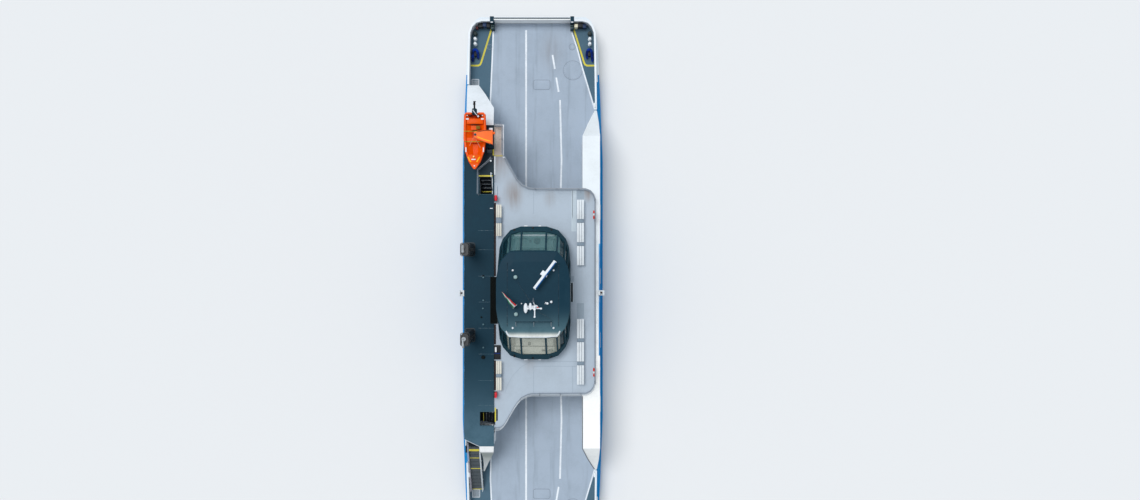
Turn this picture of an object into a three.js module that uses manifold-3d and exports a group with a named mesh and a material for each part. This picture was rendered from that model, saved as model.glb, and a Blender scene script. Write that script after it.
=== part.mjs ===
// A double-ended car and passenger ferry, built as a model at half size.
// Sizes below are the real ship's, in metres; the group's scale turns them into the model's millimetres.
// +X is starboard, +Y the bow, +Z up. The origin is on the waterline, amidships, on the centreline.
import * as THREE from "three";
import { mergeVertices } from "three/addons/utils/BufferGeometryUtils.js";
import Module from "manifold-3d";

const wasm = await Module();
wasm.setup();

// Scale
const MODEL_SCALE = 0.5;
const MM_PER_METRE = 1000;
const GAP = 0.001; // half a millimetre in the model, between pieces that touch

// Levels above the water
const KEEL = -1.4;
const LEDGE = 1.1; // step outside the end bulwarks
const CAR_DECK = 1.3;
const LOUNGE_DECK = CAR_DECK + 2.4;
const UPPER_DECK = CAR_DECK + 4.6;
const BULWARK_TOP = CAR_DECK + 1.1;
const WINDOW_SILL = CAR_DECK + 5.6;
const WHEELHOUSE_TOP = CAR_DECK + 7.65;

// Thicknesses
const DECK_PLATE = 0.04;
const WALL = 0.1;
const GLASS = 0.03;
const BELT = 0.15;
const BELT_DEPTH = 0.3;

// Colours
const PAINT = {
  white: 0xe8eef2,
  blue: 0x0a7fc0,
  slate: 0x24424f,
  deck: 0xa9afbd,
  upperDeck: 0xb4bac4,
  beige: 0xb9ab9f,
  black: 0x17191b,
  orange: 0xff5200,
  cream: 0xe6e3d6,
  glass: 0x4f7a78,
  bronze: 0xa27c3a,
  grey: 0x8d979b,
};

// Deck outline, starboard bow quarter. Columns: half breadth, distance from midships.
const OUTLINE = [
  [6.06, 0],
  [6.06, 11.2],
  [5.95, 13.8],
  [5.85, 16.4],
  [5.77, 18.2],
  [5.65, 21.1],
  [5.3, 22.75],
  [4.98, 23.3],
  [4.55, 23.58],
];

// Bottom of the hull. Columns: distance from midships, height.
const KEEL_LINE = [
  [0, KEEL],
  [14.4, KEEL],
  [16.4, -1.05],
  [18.2, -0.62],
  [21.1, -0.08],
  [23.6, 0.4],
];

const ferry = new THREE.Group();
ferry.scale.setScalar(MM_PER_METRE * MODEL_SCALE);

// Turns a closed geometry into a solid that can be joined and cut.
function solid(geometry) {
  const bare = geometry.index ? geometry.toNonIndexed() : geometry.clone();
  bare.deleteAttribute("normal");
  bare.deleteAttribute("uv");
  const merged = mergeVertices(bare, 1e-6);
  return new wasm.Manifold(
    new wasm.Mesh({
      numProp: 3,
      vertProperties: merged.attributes.position.array,
      triVerts: new Uint32Array(merged.index.array),
    }),
  );
}

function join(...solids) {
  return solids.flat().reduce((sum, next) => sum.add(next));
}

function geometryOf(shape) {
  const made = shape.getMesh();
  const geometry = new THREE.BufferGeometry();
  geometry.setAttribute("position", new THREE.BufferAttribute(made.vertProperties, 3));
  return geometry.setIndex(new THREE.BufferAttribute(made.triVerts, 1));
}

// Turns a solid about one axis by an angle in degrees, then moves it.
function placed(shape, at, axis = "Z", degrees = 0) {
  const geometry = geometryOf(shape);
  geometry["rotate" + axis](THREE.MathUtils.degToRad(degrees));
  return solid(geometry.translate(...at));
}

// Adds one named piece to the ferry.
function piece(name, shape, colour, roughness = 0.5, metalness = 0) {
  const material = new THREE.MeshStandardMaterial({ color: colour, roughness, metalness });
  const mesh = new THREE.Mesh(geometryOf(shape), material);
  mesh.name = name;
  ferry.add(mesh);
}

function box(x, y, z) {
  const geometry = new THREE.BoxGeometry(x[1] - x[0], y[1] - y[0], z[1] - z[0]);
  return solid(geometry.translate((x[0] + x[1]) / 2, (y[0] + y[1]) / 2, (z[0] + z[1]) / 2));
}

// A plan outline drawn upwards from one height to another.
function prism(outline, low, high) {
  const shape = new THREE.Shape(outline.map(([x, y]) => new THREE.Vector2(x, y)));
  const geometry = new THREE.ExtrudeGeometry(shape, { depth: high - low, bevelEnabled: false });
  return solid(geometry.translate(0, 0, low));
}

// A cross-section of (x, z) points drawn along the ship from one y to another.
function alongShip(section, from, to) {
  const shape = new THREE.Shape(section.map(([x, z]) => new THREE.Vector2(x, z)));
  const geometry = new THREE.ExtrudeGeometry(shape, { depth: to - from, bevelEnabled: false });
  return solid(geometry.rotateX(Math.PI / 2).translate(0, to, 0));
}

// A side view of (y, z) points drawn across the ship from one x to another.
function acrossShip(profile, from, to) {
  const shape = new THREE.Shape(profile.map(([y, z]) => new THREE.Vector2(y, z)));
  const geometry = new THREE.ExtrudeGeometry(shape, { depth: to - from, bevelEnabled: false });
  return solid(geometry.rotateX(Math.PI / 2).rotateZ(Math.PI / 2).translate(from, 0, 0));
}

// Joins rings of as many points each, with flat ends.
function loft(rings) {
  const count = rings[0].length;
  const faces = [];
  rings.slice(1).forEach((_, row) => {
    for (let i = 0; i < count; i++) {
      const a = row * count + i;
      const b = row * count + ((i + 1) % count);
      faces.push(a, b, b + count, a, b + count, a + count);
    }
  });
  const last = (rings.length - 1) * count;
  for (let i = 1; i < count - 1; i++) {
    faces.push(0, i + 1, i, last, last + i, last + i + 1);
  }
  const geometry = new THREE.BufferGeometry();
  const points = new Float32Array(rings.flat(2));
  geometry.setAttribute("position", new THREE.BufferAttribute(points, 3));
  geometry.setIndex(faces);
  const made = solid(geometry);
  return made.volume() > 0 ? made : solid(geometry.setIndex(faces.reverse()));
}

function drum(radius, low, high, at, sides = 16) {
  const geometry = new THREE.CylinderGeometry(radius, radius, high - low, sides);
  return solid(geometry.rotateX(Math.PI / 2).translate(at[0], at[1], (low + high) / 2));
}

// A straight round bar between two points.
function bar(from, to, radius, sides = 6) {
  const a = new THREE.Vector3(...from);
  const b = new THREE.Vector3(...to);
  const geometry = new THREE.CylinderGeometry(radius, radius, a.distanceTo(b), sides);
  const turn = new THREE.Quaternion().setFromUnitVectors(
    new THREE.Vector3(0, 1, 0),
    b.clone().sub(a).normalize(),
  );
  const middle = a.add(b).multiplyScalar(0.5);
  return solid(geometry.applyQuaternion(turn).translate(middle.x, middle.y, middle.z));
}

// Moves a line of plan points sideways, to the right of its direction when the distance is positive.
function offset(points, distance, closed = false) {
  const count = points.length;
  const at = (i) => points[closed ? (i + count) % count : Math.min(Math.max(i, 0), count - 1)];
  return points.map((point, i) => {
    const sides = [];
    for (const [from, to] of [[at(i - 1), point], [point, at(i + 1)]]) {
      const length = Math.hypot(to[0] - from[0], to[1] - from[1]);
      if (length > 0) {
        sides.push([(to[1] - from[1]) / length, (from[0] - to[0]) / length]);
      }
    }
    const [p, q] = [sides[0], sides[sides.length - 1]];
    const spread = 1 + p[0] * q[0] + p[1] * q[1];
    return [
      point[0] + (distance * (p[0] + q[0])) / spread,
      point[1] + (distance * (p[1] + q[1])) / spread,
    ];
  });
}

// A strip of the given width along a line of plan points.
function strip(points, width, low, high) {
  const outline = [...offset(points, width / 2), ...offset(points, -width / 2).reverse()];
  return prism(outline, low, high);
}

// Mirrors the starboard bow quarter to a closed outline, anticlockwise from amidships to starboard.
function allRound(quarter) {
  const bow = [...quarter, ...quarter.map(([x, y]) => [-x, y]).reverse()];
  const around = [...bow, ...bow.map(([x, y]) => [-x, -y])];
  return around.filter(([x, y], i) => {
    const [u, v] = around[(i + around.length - 1) % around.length];
    return Math.hypot(x - u, y - v) > 1e-6;
  });
}

function interpolate(table, at) {
  const next = table.findIndex(([x]) => x >= at);
  if (next <= 0) {
    return table[next < 0 ? table.length - 1 : 0][1];
  }
  const [[x0, y0], [x1, y1]] = [table[next - 1], table[next]];
  return y0 + ((y1 - y0) * (at - x0)) / (x1 - x0);
}

// Hull: six corners at each station, decked over, with flat ends and a raked bottom
const DECK_EDGE = allRound(OUTLINE);
const SHELL_EDGE = offset(DECK_EDGE, -BELT, true);
const SHELL_QUARTER = SHELL_EDGE.filter(([x, y]) => x > 0 && y > 0);
const STEP_AT = 23.08;
const BILGE = 0.55;
const THRUSTER_AT = 19.2;
const THRUSTER_SEAT = -0.36;
const SEAT_RADIUS = 0.46;

function hullSection(y, half, top) {
  const bottom = interpolate(KEEL_LINE, Math.abs(y));
  const side = [
    [half, top],
    [half, bottom + BILGE],
    [half - BILGE, bottom],
  ];
  return [...side, ...side.map(([x, z]) => [-x, z]).reverse()].map(([x, z]) => [x, y, z]);
}

function makeHull() {
  const breadth = SHELL_QUARTER.map(([x, y]) => [y, x]);
  const stations = [...breadth.map(([y]) => y), ...KEEL_LINE.map(([y]) => y)]
    .filter((y) => y > 0 && y < STEP_AT)
    .concat(STEP_AT)
    .sort((a, b) => a - b);
  const top = CAR_DECK - DECK_PLATE - GAP;
  const ledge = breadth.filter(([y]) => y > STEP_AT);
  const forward = [
    ...stations.map((y) => hullSection(y, interpolate(breadth, y), top)),
    hullSection(STEP_AT + GAP, interpolate(breadth, STEP_AT), LEDGE),
    ...ledge.map(([y, half]) => hullSection(y, half, LEDGE)),
  ];
  const aft = forward.map((ring) => ring.map(([x, y, z]) => [x, -y, z])).reverse();
  let hull = loft([...aft, ...forward]);
  for (const end of [1, -1]) {
    hull = hull.subtract(drum(SEAT_RADIUS, KEEL, THRUSTER_SEAT, [0, end * THRUSTER_AT], 24));
  }
  piece("hull", hull, PAINT.blue);
}

function makeCarDeck() {
  const edge = SHELL_EDGE.map(([x, y]) => [x, Math.sign(y) * Math.min(Math.abs(y), STEP_AT)]);
  piece("car_deck", prism(edge, CAR_DECK - DECK_PLATE, CAR_DECK), PAINT.deck, 0.8);
}

// Rubbing belts, one along each side and round to the middle of both ends
function makeBelts() {
  const ring = prism(DECK_EDGE, LEDGE - BELT_DEPTH, LEDGE).subtract(
    prism(offset(DECK_EDGE, GAP - BELT, true), CAR_DECK - 1, CAR_DECK),
  );
  const half = (low, high) => box([low, high], [-30, 30], [0, CAR_DECK]);
  piece("belt_starboard", ring.intersect(half(GAP, 30)), PAINT.blue);
  piece("belt_port", ring.intersect(half(-30, -GAP)), PAINT.blue);
}

// Bulwarks at the four corners. Columns of each path: x, distance from midships.
const CAP_WIDTH = 0.16;
const CAP_HEIGHT = 0.06;
const PLATE = 0.07;
const POST_AT = 3.42;
const POST_WIDTH = 0.32;
const CORNER = [
  [5.36, 21.0],
  [5.33, 21.9],
  [5.13, 22.45],
  [4.78, 22.8],
  [4.3, 22.94],
];
const BULWARKS = [
  // name, side, end, where it starts
  ["bulwark_bow_port", -1, 1, [5.43, 17.5]],
  ["bulwark_bow_starboard", 1, 1, [5.44, 15.35]],
  ["bulwark_stern_port", -1, -1, [5.5, 14.7]],
  ["bulwark_stern_starboard", 1, -1, [5.44, 15.35]],
];

function makeBulwarks() {
  const nearPost = [POST_AT + POST_WIDTH / 2 + GAP, 22.94];
  for (const [name, side, end, start] of BULWARKS) {
    const path = [start, ...CORNER, nearPost].map(([x, y]) => [side * x, end * y]);
    const plate = strip(path, PLATE, CAR_DECK + GAP, BULWARK_TOP - CAP_HEIGHT / 2);
    const cap = strip(path, CAP_WIDTH, BULWARK_TOP - CAP_HEIGHT, BULWARK_TOP);
    piece(name, join(plate, cap), PAINT.white);
  }
}

// End ramps, each hinged on a sill between two posts
const RAMP_HINGE = [23.0, CAR_DECK + 0.1];
const RAMP_HALF = 3.24;
const RAMP_THICK = 0.09;
const RAMP_RISE = 1.06;

function makeRamps() {
  const [y, z] = RAMP_HINGE;
  for (const [name, end] of [["bow", 1], ["stern", -1]]) {
    const across = (a, b) => (end > 0 ? [a, b] : [-b, -a]);
    const sill = box([-POST_AT, POST_AT], across(22.78, 22.9), [CAR_DECK + GAP, CAR_DECK + 0.06]);
    const posts = [-1, 1].map((side) => {
      const x = side * POST_AT;
      const wide = [x - POST_WIDTH / 2, x + POST_WIDTH / 2];
      const winch = [x - side * 0.02 - 0.14, x - side * 0.02 + 0.14];
      return join(
        box(wide, across(22.74, 23.26), [CAR_DECK + GAP, BULWARK_TOP + 0.04]),
        box(winch, across(22.3, 22.76), [CAR_DECK + GAP, CAR_DECK + 0.55]),
      );
    });
    piece("ramp_frame_" + name, join(sill, ...posts), PAINT.slate);
    const flap = box(
      [-RAMP_HALF, RAMP_HALF],
      across(y - RAMP_THICK / 2, y + RAMP_THICK / 2),
      [z - 0.03, z + RAMP_RISE],
    );
    const lip = box([-RAMP_HALF, RAMP_HALF], across(y - 0.02, y + 0.14), [z + 0.97, z + RAMP_RISE]);
    const ribs = [-2.6, -1.3, 0, 1.3, 2.6].map((x) =>
      box([x - 0.04, x + 0.04], across(y, y + 0.12), [z + 0.2, z + 1.0]),
    );
    piece("ramp_" + name, join(flap, lip, ...ribs), PAINT.white);
  }
}

// Mooring gear at each corner: two bollards and a capstan on one base plate
function makeMooringGear() {
  const base = 0.05;
  for (const [end, endName] of [[1, "bow"], [-1, "stern"]]) {
    for (const [side, sideName] of [[-1, "port"], [1, "starboard"]]) {
      const x = side * 4.93;
      const plateY = end > 0 ? [20.9, 22.25] : [-22.25, -20.9];
      const plate = box([x - 0.2, x + 0.2], plateY, [CAR_DECK + GAP, CAR_DECK + base]);
      const bollards = [21.15, 21.57].map((y) =>
        join(
          drum(0.1, CAR_DECK + base / 2, CAR_DECK + 0.42, [x, end * y], 12),
          drum(0.13, CAR_DECK + 0.38, CAR_DECK + 0.45, [x, end * y], 12),
        ),
      );
      const capstan = join(
        drum(0.19, CAR_DECK + base / 2, CAR_DECK + 0.14, [x, end * 22.02], 12),
        drum(0.12, CAR_DECK + 0.1, CAR_DECK + 0.45, [x, end * 22.02], 12),
        drum(0.17, CAR_DECK + 0.42, CAR_DECK + 0.5, [x, end * 22.02], 12),
      );
      piece(`mooring_${endName}_${sideName}`, join(plate, ...bollards, capstan), PAINT.white);
    }
  }
}

// Port deckhouse: machinery casing below, lounge above, slate roof, fairings at both ends
const HOUSE_BOW = 13.45;
const HOUSE_STERN = -12.4;
const CASING_INNER = -3.6;
const LOUNGE_INNER = -2.95;
const ROOF_X = [-5.29, -2.89];
const ROOF_TOP = UPPER_DECK + 0.12;
const ROOF_LOW = UPPER_DECK + 0.02;
const LOUNGE_DOOR_X = [-5.12, -4.3];
const ALCOVE = { x: -4.06, y: -11.78 }; // open corner at the head of the outside stair
const CASING_DOOR_Y = [8.0, 8.9];
const DOOR_HIGH = 1.98;

// Leaning side of the house: x at a height above the car deck.
function houseSide(height) {
  return -5.72 + (0.43 * (height - CAR_DECK)) / 4.7;
}

function makeHouse() {
  const floor = LOUNGE_DECK - WALL;
  const lowerOuter = [
    [houseSide(CAR_DECK), CAR_DECK + GAP],
    [CASING_INNER, CAR_DECK + GAP],
    [CASING_INNER, floor],
    [houseSide(floor), floor],
  ];
  const lowerInner = [
    [houseSide(CAR_DECK) + WALL, CAR_DECK - WALL],
    [CASING_INNER - WALL, CAR_DECK - WALL],
    [CASING_INNER - WALL, floor - WALL],
    [houseSide(floor) + WALL, floor - WALL],
  ];
  const lower = alongShip(lowerOuter, HOUSE_STERN, HOUSE_BOW)
    .subtract(alongShip(lowerInner, HOUSE_STERN + WALL, HOUSE_BOW - WALL))
    .subtract(box([-3.8, -3.4], CASING_DOOR_Y, [CAR_DECK - WALL, CAR_DECK + DOOR_HIGH]));
  const loungeFloor = box(
    [houseSide(LOUNGE_DECK), LOUNGE_INNER],
    [HOUSE_STERN, HOUSE_BOW],
    [floor - 0.01, LOUNGE_DECK],
  );
  piece("house_casing", join(lower, loungeFloor), PAINT.white);
}

const WINDOW_Z = [LOUNGE_DECK + 0.85, LOUNGE_DECK + 1.75];
const WINDOW_COUNT = 9;
const WINDOW_PITCH = 2.72;
const WINDOW_LONG = 2.1;

function loungeSection(inset, low, high) {
  return [
    [houseSide(low) + inset, low],
    [LOUNGE_INNER - inset, low],
    [LOUNGE_INNER - inset, high],
    [houseSide(high) + inset, high],
  ];
}

function loungeRing(outset, inset, low, high) {
  const outer = alongShip(loungeSection(outset, low, high), HOUSE_STERN + outset, HOUSE_BOW - outset);
  const inner = alongShip(
    loungeSection(inset, low - WALL, high + WALL),
    HOUSE_STERN + inset,
    HOUSE_BOW - inset,
  );
  return outer.subtract(inner);
}

function makeLounge() {
  const doorway = box(LOUNGE_DOOR_X, [ALCOVE.y - WALL, ALCOVE.y + 2 * WALL], [
    LOUNGE_DECK - WALL,
    LOUNGE_DECK + DOOR_HIGH,
  ]);
  const high = [LOUNGE_DECK + GAP, ROOF_LOW - GAP];
  const corner = box([-6, ALCOVE.x], [HOUSE_STERN - WALL, ALCOVE.y], [0, UPPER_DECK + WALL]);
  const outline = alongShip(loungeSection(0, ...high), HOUSE_STERN, HOUSE_BOW);
  const inset = join(
    box([-6, ALCOVE.x + WALL], [ALCOVE.y, ALCOVE.y + WALL], high),
    box([ALCOVE.x, ALCOVE.x + WALL], [HOUSE_STERN, ALCOVE.y + WALL], high),
  ).intersect(outline);
  const entry = box([-3.3, -2.6], [-10.68, -9.66], [UPPER_DECK - 1.2, UPPER_DECK + WALL]);
  let walls = loungeRing(0, WALL, ...high).subtract(corner).add(inset).subtract(doorway);
  const middle = (HOUSE_BOW + HOUSE_STERN) / 2;
  for (let i = 0; i < WINDOW_COUNT; i++) {
    const y = middle + (i - (WINDOW_COUNT - 1) / 2) * WINDOW_PITCH;
    walls = walls.subtract(box([-6, -2], [y - WINDOW_LONG / 2, y + WINDOW_LONG / 2], WINDOW_Z));
  }
  piece("lounge_walls", walls.subtract(entry), PAINT.white);
  const pane = [WINDOW_Z[0] - 0.1, WINDOW_Z[1] + 0.1];
  const glazing = loungeRing(WALL + GAP, WALL + GLASS, pane[0], pane[1])
    .subtract(box([-4.1, -2.6], [HOUSE_STERN - 1, -9.4], [LOUNGE_DECK, UPPER_DECK]))
    .subtract(box([-6, -2.6], [HOUSE_STERN - 1, ALCOVE.y + 2 * WALL], [LOUNGE_DECK, UPPER_DECK]));
  piece("lounge_glass", glazing, PAINT.glass, 0.1);
  const doorX = [LOUNGE_DOOR_X[0] + 0.02, LOUNGE_DOOR_X[1] - 0.02];
  const leaf = box(doorX, [ALCOVE.y + 0.02, ALCOVE.y + 0.08], [
    LOUNGE_DECK + 0.02,
    LOUNGE_DECK + DOOR_HIGH - 0.02,
  ]);
  piece("lounge_door", leaf, PAINT.slate);
  const casingLeaf = box([CASING_INNER - 0.08, CASING_INNER - 0.02], [
    CASING_DOOR_Y[0] + 0.02,
    CASING_DOOR_Y[1] - 0.02,
  ], [CAR_DECK + 0.04, CAR_DECK + DOOR_HIGH - 0.02]);
  piece("casing_door", casingLeaf, PAINT.slate);
}

const BOW_WELL = { x: [-4.05, -2.99], y: [7.9, 9.32] };
const STERN_WELL = { x: [-4.02, -2.8], y: [-10.72, -9.62] };
const SIDE_SLOT = { x: [-3.17, -2.64], y: [-2.52, 1.23] };

// Slanting cut across the roof's stern port corner, over the alcove
const ROOF_CORNER = [
  [-5.4, -11.77],
  [-5.4, -12.6],
  [-4.03, -12.6],
  [-4.03, -12.41],
];

// The roof plate is rounded down to the ship's side. Columns: x, height.
const ROOF_SECTION = [
  [ROOF_X[1] - GAP, ROOF_LOW],
  [ROOF_X[1] - GAP, ROOF_TOP],
  [-4.84, ROOF_TOP],
  [-5.14, ROOF_TOP - 0.025],
  [ROOF_X[0], ROOF_TOP - 0.07],
  [ROOF_X[0], ROOF_LOW],
];

// The bow part of the roof is a plate of its own, which carries the rescue boat.
function makeHouseRoof() {
  const through = [UPPER_DECK - WALL, UPPER_DECK + 1];
  let roof = alongShip(ROOF_SECTION, HOUSE_STERN, BOW_WELL.y[0]);
  for (const opening of [STERN_WELL, SIDE_SLOT]) {
    roof = roof.subtract(box(opening.x, opening.y, through));
  }
  piece("house_roof", roof.subtract(prism(ROOF_CORNER, ...through)), PAINT.slate, 0.6);
  const boatDeck = alongShip(ROOF_SECTION, BOW_WELL.y[0] + GAP, HOUSE_BOW);
  const well = box(BOW_WELL.x, [BOW_WELL.y[0] - 1, BOW_WELL.y[1]], through);
  piece("boat_deck", boatDeck.subtract(well), PAINT.slate, 0.6);
}

// Fairings slope from the roof to the bulwark. Columns: y, top height, x of the four corners
// (outer foot, outer top, inner top, inner foot).
const BOW_FAIRING = [
  [HOUSE_BOW + GAP, ROOF_TOP, -5.66, -5.02, -2.92, -3.6],
  [15.1, CAR_DECK + 3.2, -5.62, -5.28, -3.03, -3.6],
  [16.5, CAR_DECK + 1.92, -5.56, -5.42, -3.88, -4.1],
  [17.4, BULWARK_TOP, -5.52, -5.49, -4.51, -4.6],
];
const STERN_FAIRING = [
  [HOUSE_STERN - GAP, ROOF_TOP, -4.06, -4.04, -2.9, -3.6],
  [-12.95, ROOF_TOP - 0.35, -4.06, -4.04, -2.95, -3.6],
  [-13.3, ROOF_TOP - 1.3, -4.06, -4.04, -3.06, -3.6],
  [-13.9, ROOF_TOP - 2.4, -4.06, -4.04, -3.33, -3.62],
  [-14.6, ROOF_TOP - 3.1, -4.07, -4.05, -3.68, -3.78],
  [-15.4, BULWARK_TOP, -4.14, -4.12, -4.02, -4.04],
];

function fairing(rows) {
  const foot = CAR_DECK + GAP;
  return loft(rows.map(([y, top, a, b, c, d]) => [[a, y, foot], [b, y, top], [c, y, top], [d, y, foot]]));
}

function makeFairings() {
  piece("fairing_bow", fairing(BOW_FAIRING), PAINT.white);
  piece("fairing_stern", fairing(STERN_FAIRING), PAINT.white);
}

// Starboard casing. Columns: distance from midships, top height, x of the four corners
// (outer foot, outer top, inner top, inner foot).
const CASING = [
  [12.6, UPPER_DECK, 5.82, 5.65, 4.24, 4.24],
  [13.9, CAR_DECK + 2.85, 5.72, 5.62, 4.72, 4.7],
  [15.25, BULWARK_TOP, 5.53, 5.51, 5.32, 5.3],
];

function makeStarboardCasing() {
  const rings = [...CASING.map(([y, ...rest]) => [-y, ...rest]).reverse(), ...CASING];
  piece("starboard_casing", fairing(rings), PAINT.white);
}

// Upper deck across the lanes, with girders below. The guard rails follow its curved ends, and its edge
// runs outside them. Columns: x, y from starboard to port.
const RAIL_INSET = 0.1;
const BOW_CURVE = [
  [0.3, 8.3],
  [-0.13, 8.36],
  [-0.65, 8.6],
  [-1.08, 9.08],
  [-1.42, 9.68],
  [-1.89, 10.54],
  [-2.06, 10.86],
  [-2.19, 11.1],
];
const STERN_CURVE = [
  [0.2, -8.18],
  [-0.16, -8.25],
  [-0.66, -8.5],
  [-1.0, -8.9],
  [-1.27, -9.3],
  [-1.55, -9.8],
  [-1.84, -10.3],
  [-2.06, -10.66],
  [-2.34, -10.88],
  [-2.8, -10.94],
];
const DECK_X = [-2.888, 4.238];
const UPPER_PLATE = 0.12;
const GIRDERS = [-7.5, -4.5, -1.5, 1.5, 4.5, 7.5];
const PLATFORM = { x: [DECK_X[0], -2.11], y: [11.02 + GAP, 13.47] };

function makeUpperDeck() {
  const under = UPPER_DECK - UPPER_PLATE;
  const bow = offset(BOW_CURVE.slice(0, -1), RAIL_INSET);
  const stern = offset(STERN_CURVE, -RAIL_INSET).reverse();
  const outline = [
    [DECK_X[1], bow[0][1]],
    ...bow,
    [PLATFORM.x[1], PLATFORM.y[0] - GAP],
    [DECK_X[0], PLATFORM.y[0] - GAP],
    [DECK_X[0], stern[0][1]],
    ...stern,
    [DECK_X[1], stern[stern.length - 1][1]],
  ];
  let deck = prism(outline, under, UPPER_DECK);
  for (const well of [STERN_WELL, SIDE_SLOT]) {
    deck = deck.subtract(box(well.x, well.y, [under - 1, UPPER_DECK + 1]));
  }
  const girders = GIRDERS.map((y) =>
    box([-2.6, 4.23], [y - 0.06, y + 0.06], [under - 0.28, under + 0.02]),
  );
  piece("upper_deck", join(deck, ...girders), PAINT.upperDeck, 0.8);
}

const COAMING = 0.12;
const COAMING_WIDTH = 0.04;

function makeBoardingPlatform() {
  const { x, y } = PLATFORM;
  const plate = box(x, y, [UPPER_DECK - UPPER_PLATE, UPPER_DECK]);
  const side = box([x[1] - COAMING_WIDTH, x[1]], y, [UPPER_DECK - UPPER_PLATE, UPPER_DECK + COAMING]);
  const front = box(x, [y[1] - COAMING_WIDTH, y[1]], [UPPER_DECK - UPPER_PLATE, UPPER_DECK + COAMING]);
  piece("boarding_platform", join(plate, side, front), PAINT.beige, 0.9);
}

// Guard rails round the upper deck
const RAIL_TOP = 1.08;
const RAIL_RADIUS = 0.022;
const POST_RADIUS = 0.031;
const RAIL_PITCH = 1.56;

// Posts at even steps along a line of plan points, joined by bars at the given heights.
function railing(points, floor, heights) {
  const lengths = points.slice(1).map(([x, y], i) => Math.hypot(x - points[i][0], y - points[i][1]));
  const total = lengths.reduce((a, b) => a + b, 0);
  const count = Math.max(1, Math.round(total / RAIL_PITCH));
  const bars = points.slice(1).flatMap((to, i) =>
    heights.map((z) => bar([...points[i], floor + z], [...to, floor + z], RAIL_RADIUS, 4)),
  );
  const top = Math.max(...heights);
  const posts = Array.from({ length: count + 1 }, (_, i) => {
    let along = (total * i) / count;
    let leg = 0;
    while (leg < lengths.length - 1 && along > lengths[leg]) {
      along -= lengths[leg];
      leg += 1;
    }
    const t = Math.min(1, along / lengths[leg]);
    const [[x0, y0], [x1, y1]] = [points[leg], points[leg + 1]];
    const at = [x0 + t * (x1 - x0), y0 + t * (y1 - y0)];
    return bar([...at, floor + GAP], [...at, floor + top + POST_RADIUS], POST_RADIUS, 4);
  });
  return join(...bars, ...posts);
}

function makeRails() {
  const heights = [0.55, RAIL_TOP];
  const side = [[5.25, -7.16], [5.25, 7.36]];
  const bow = [[5.25, 7.45], [4.95, 8.1], [4.3, 8.3], ...BOW_CURVE, [-2.19, 13.39], [-2.8, 13.39]];
  const stern = [[5.25, -7.25], [4.95, -7.93], [4.3, -8.18], ...STERN_CURVE];
  piece("rail_starboard", railing(side, UPPER_DECK, heights), PAINT.white);
  piece("rail_bow", railing(bow, UPPER_DECK, heights), PAINT.white);
  piece("rail_stern", railing(stern, UPPER_DECK, heights), PAINT.white);
  const well = [[-3.05, 10.75], [-3.3, 10.45], [-4.1, 9.75], [-4.12, 7.86]];
  piece("rail_bow_well", railing(well, ROOF_TOP, heights), PAINT.grey);
}

// Wheelhouse. Columns: half width and half length at the sill, then at the roof edge.
const WHEELHOUSE_X = 0.4;
const WHEELHOUSE = [
  [2.88, 0, 2.79, 0],
  [2.88, 2.35, 2.78, 1.15],
  [2.75, 3.62, 2.66, 1.9],
  [2.5, 4.3, 2.42, 2.56],
  [1.9, 4.98, 1.83, 3.22],
  [0.98, 5.27, 0.96, 3.26],
];
const WHEELHOUSE_DOOR_Y = [-0.2, 0.7];

function wheelhouseRing(sillColumn, inset, z) {
  const quarter = WHEELHOUSE.map((row) => [row[sillColumn], row[sillColumn + 1]]);
  const ring = offset(allRound(quarter), -inset, true);
  return ring.map(([x, y]) => [WHEELHOUSE_X + x, y, z]);
}

// The leaning window band between two insets, from one height to another.
function windowBand(outer, inner, low, high) {
  const leaning = (inset) => {
    const sill = wheelhouseRing(0, inset, WINDOW_SILL);
    const eave = wheelhouseRing(2, inset, WHEELHOUSE_TOP);
    const at = (z) => {
      const t = (z - WINDOW_SILL) / (WHEELHOUSE_TOP - WINDOW_SILL);
      return sill.map((p, i) => [p[0] + t * (eave[i][0] - p[0]), p[1] + t * (eave[i][1] - p[1]), z]);
    };
    return loft([at(WINDOW_SILL - 0.3), at(WHEELHOUSE_TOP + 0.2)]);
  };
  return leaning(outer).subtract(leaning(inner)).intersect(box([-10, 10], [-10, 10], [low, high]));
}

// A cutter through the wall for one pane, kept clear of the posts and of the sill and roof edge.
function paneCutter(a, b, c, d) {
  const POST = 0.07;
  const [lowA, lowB, highB, highA] = [a, b, c, d].map((p) => new THREE.Vector3(...p));
  const edge = (from, to) => {
    const share = POST / from.distanceTo(to);
    return [from.clone().lerp(to, share), to.clone().lerp(from, share)];
  };
  const [low0, low1] = edge(lowA, lowB);
  const [high0, high1] = edge(highA, highB);
  const rise = (from, to, share) => from.clone().lerp(to, share);
  const [sill, head] = [0.2, 0.94];
  const corners = [rise(low0, high0, sill), rise(low1, high1, sill), rise(low1, high1, head),
    rise(low0, high0, head)];
  const out = corners[1].clone().sub(corners[0]).cross(corners[3].clone().sub(corners[0])).normalize();
  const ring = (distance) => corners.map((p) => p.clone().addScaledVector(out, distance).toArray());
  return loft([ring(-0.3), ring(0.3)]);
}

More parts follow.
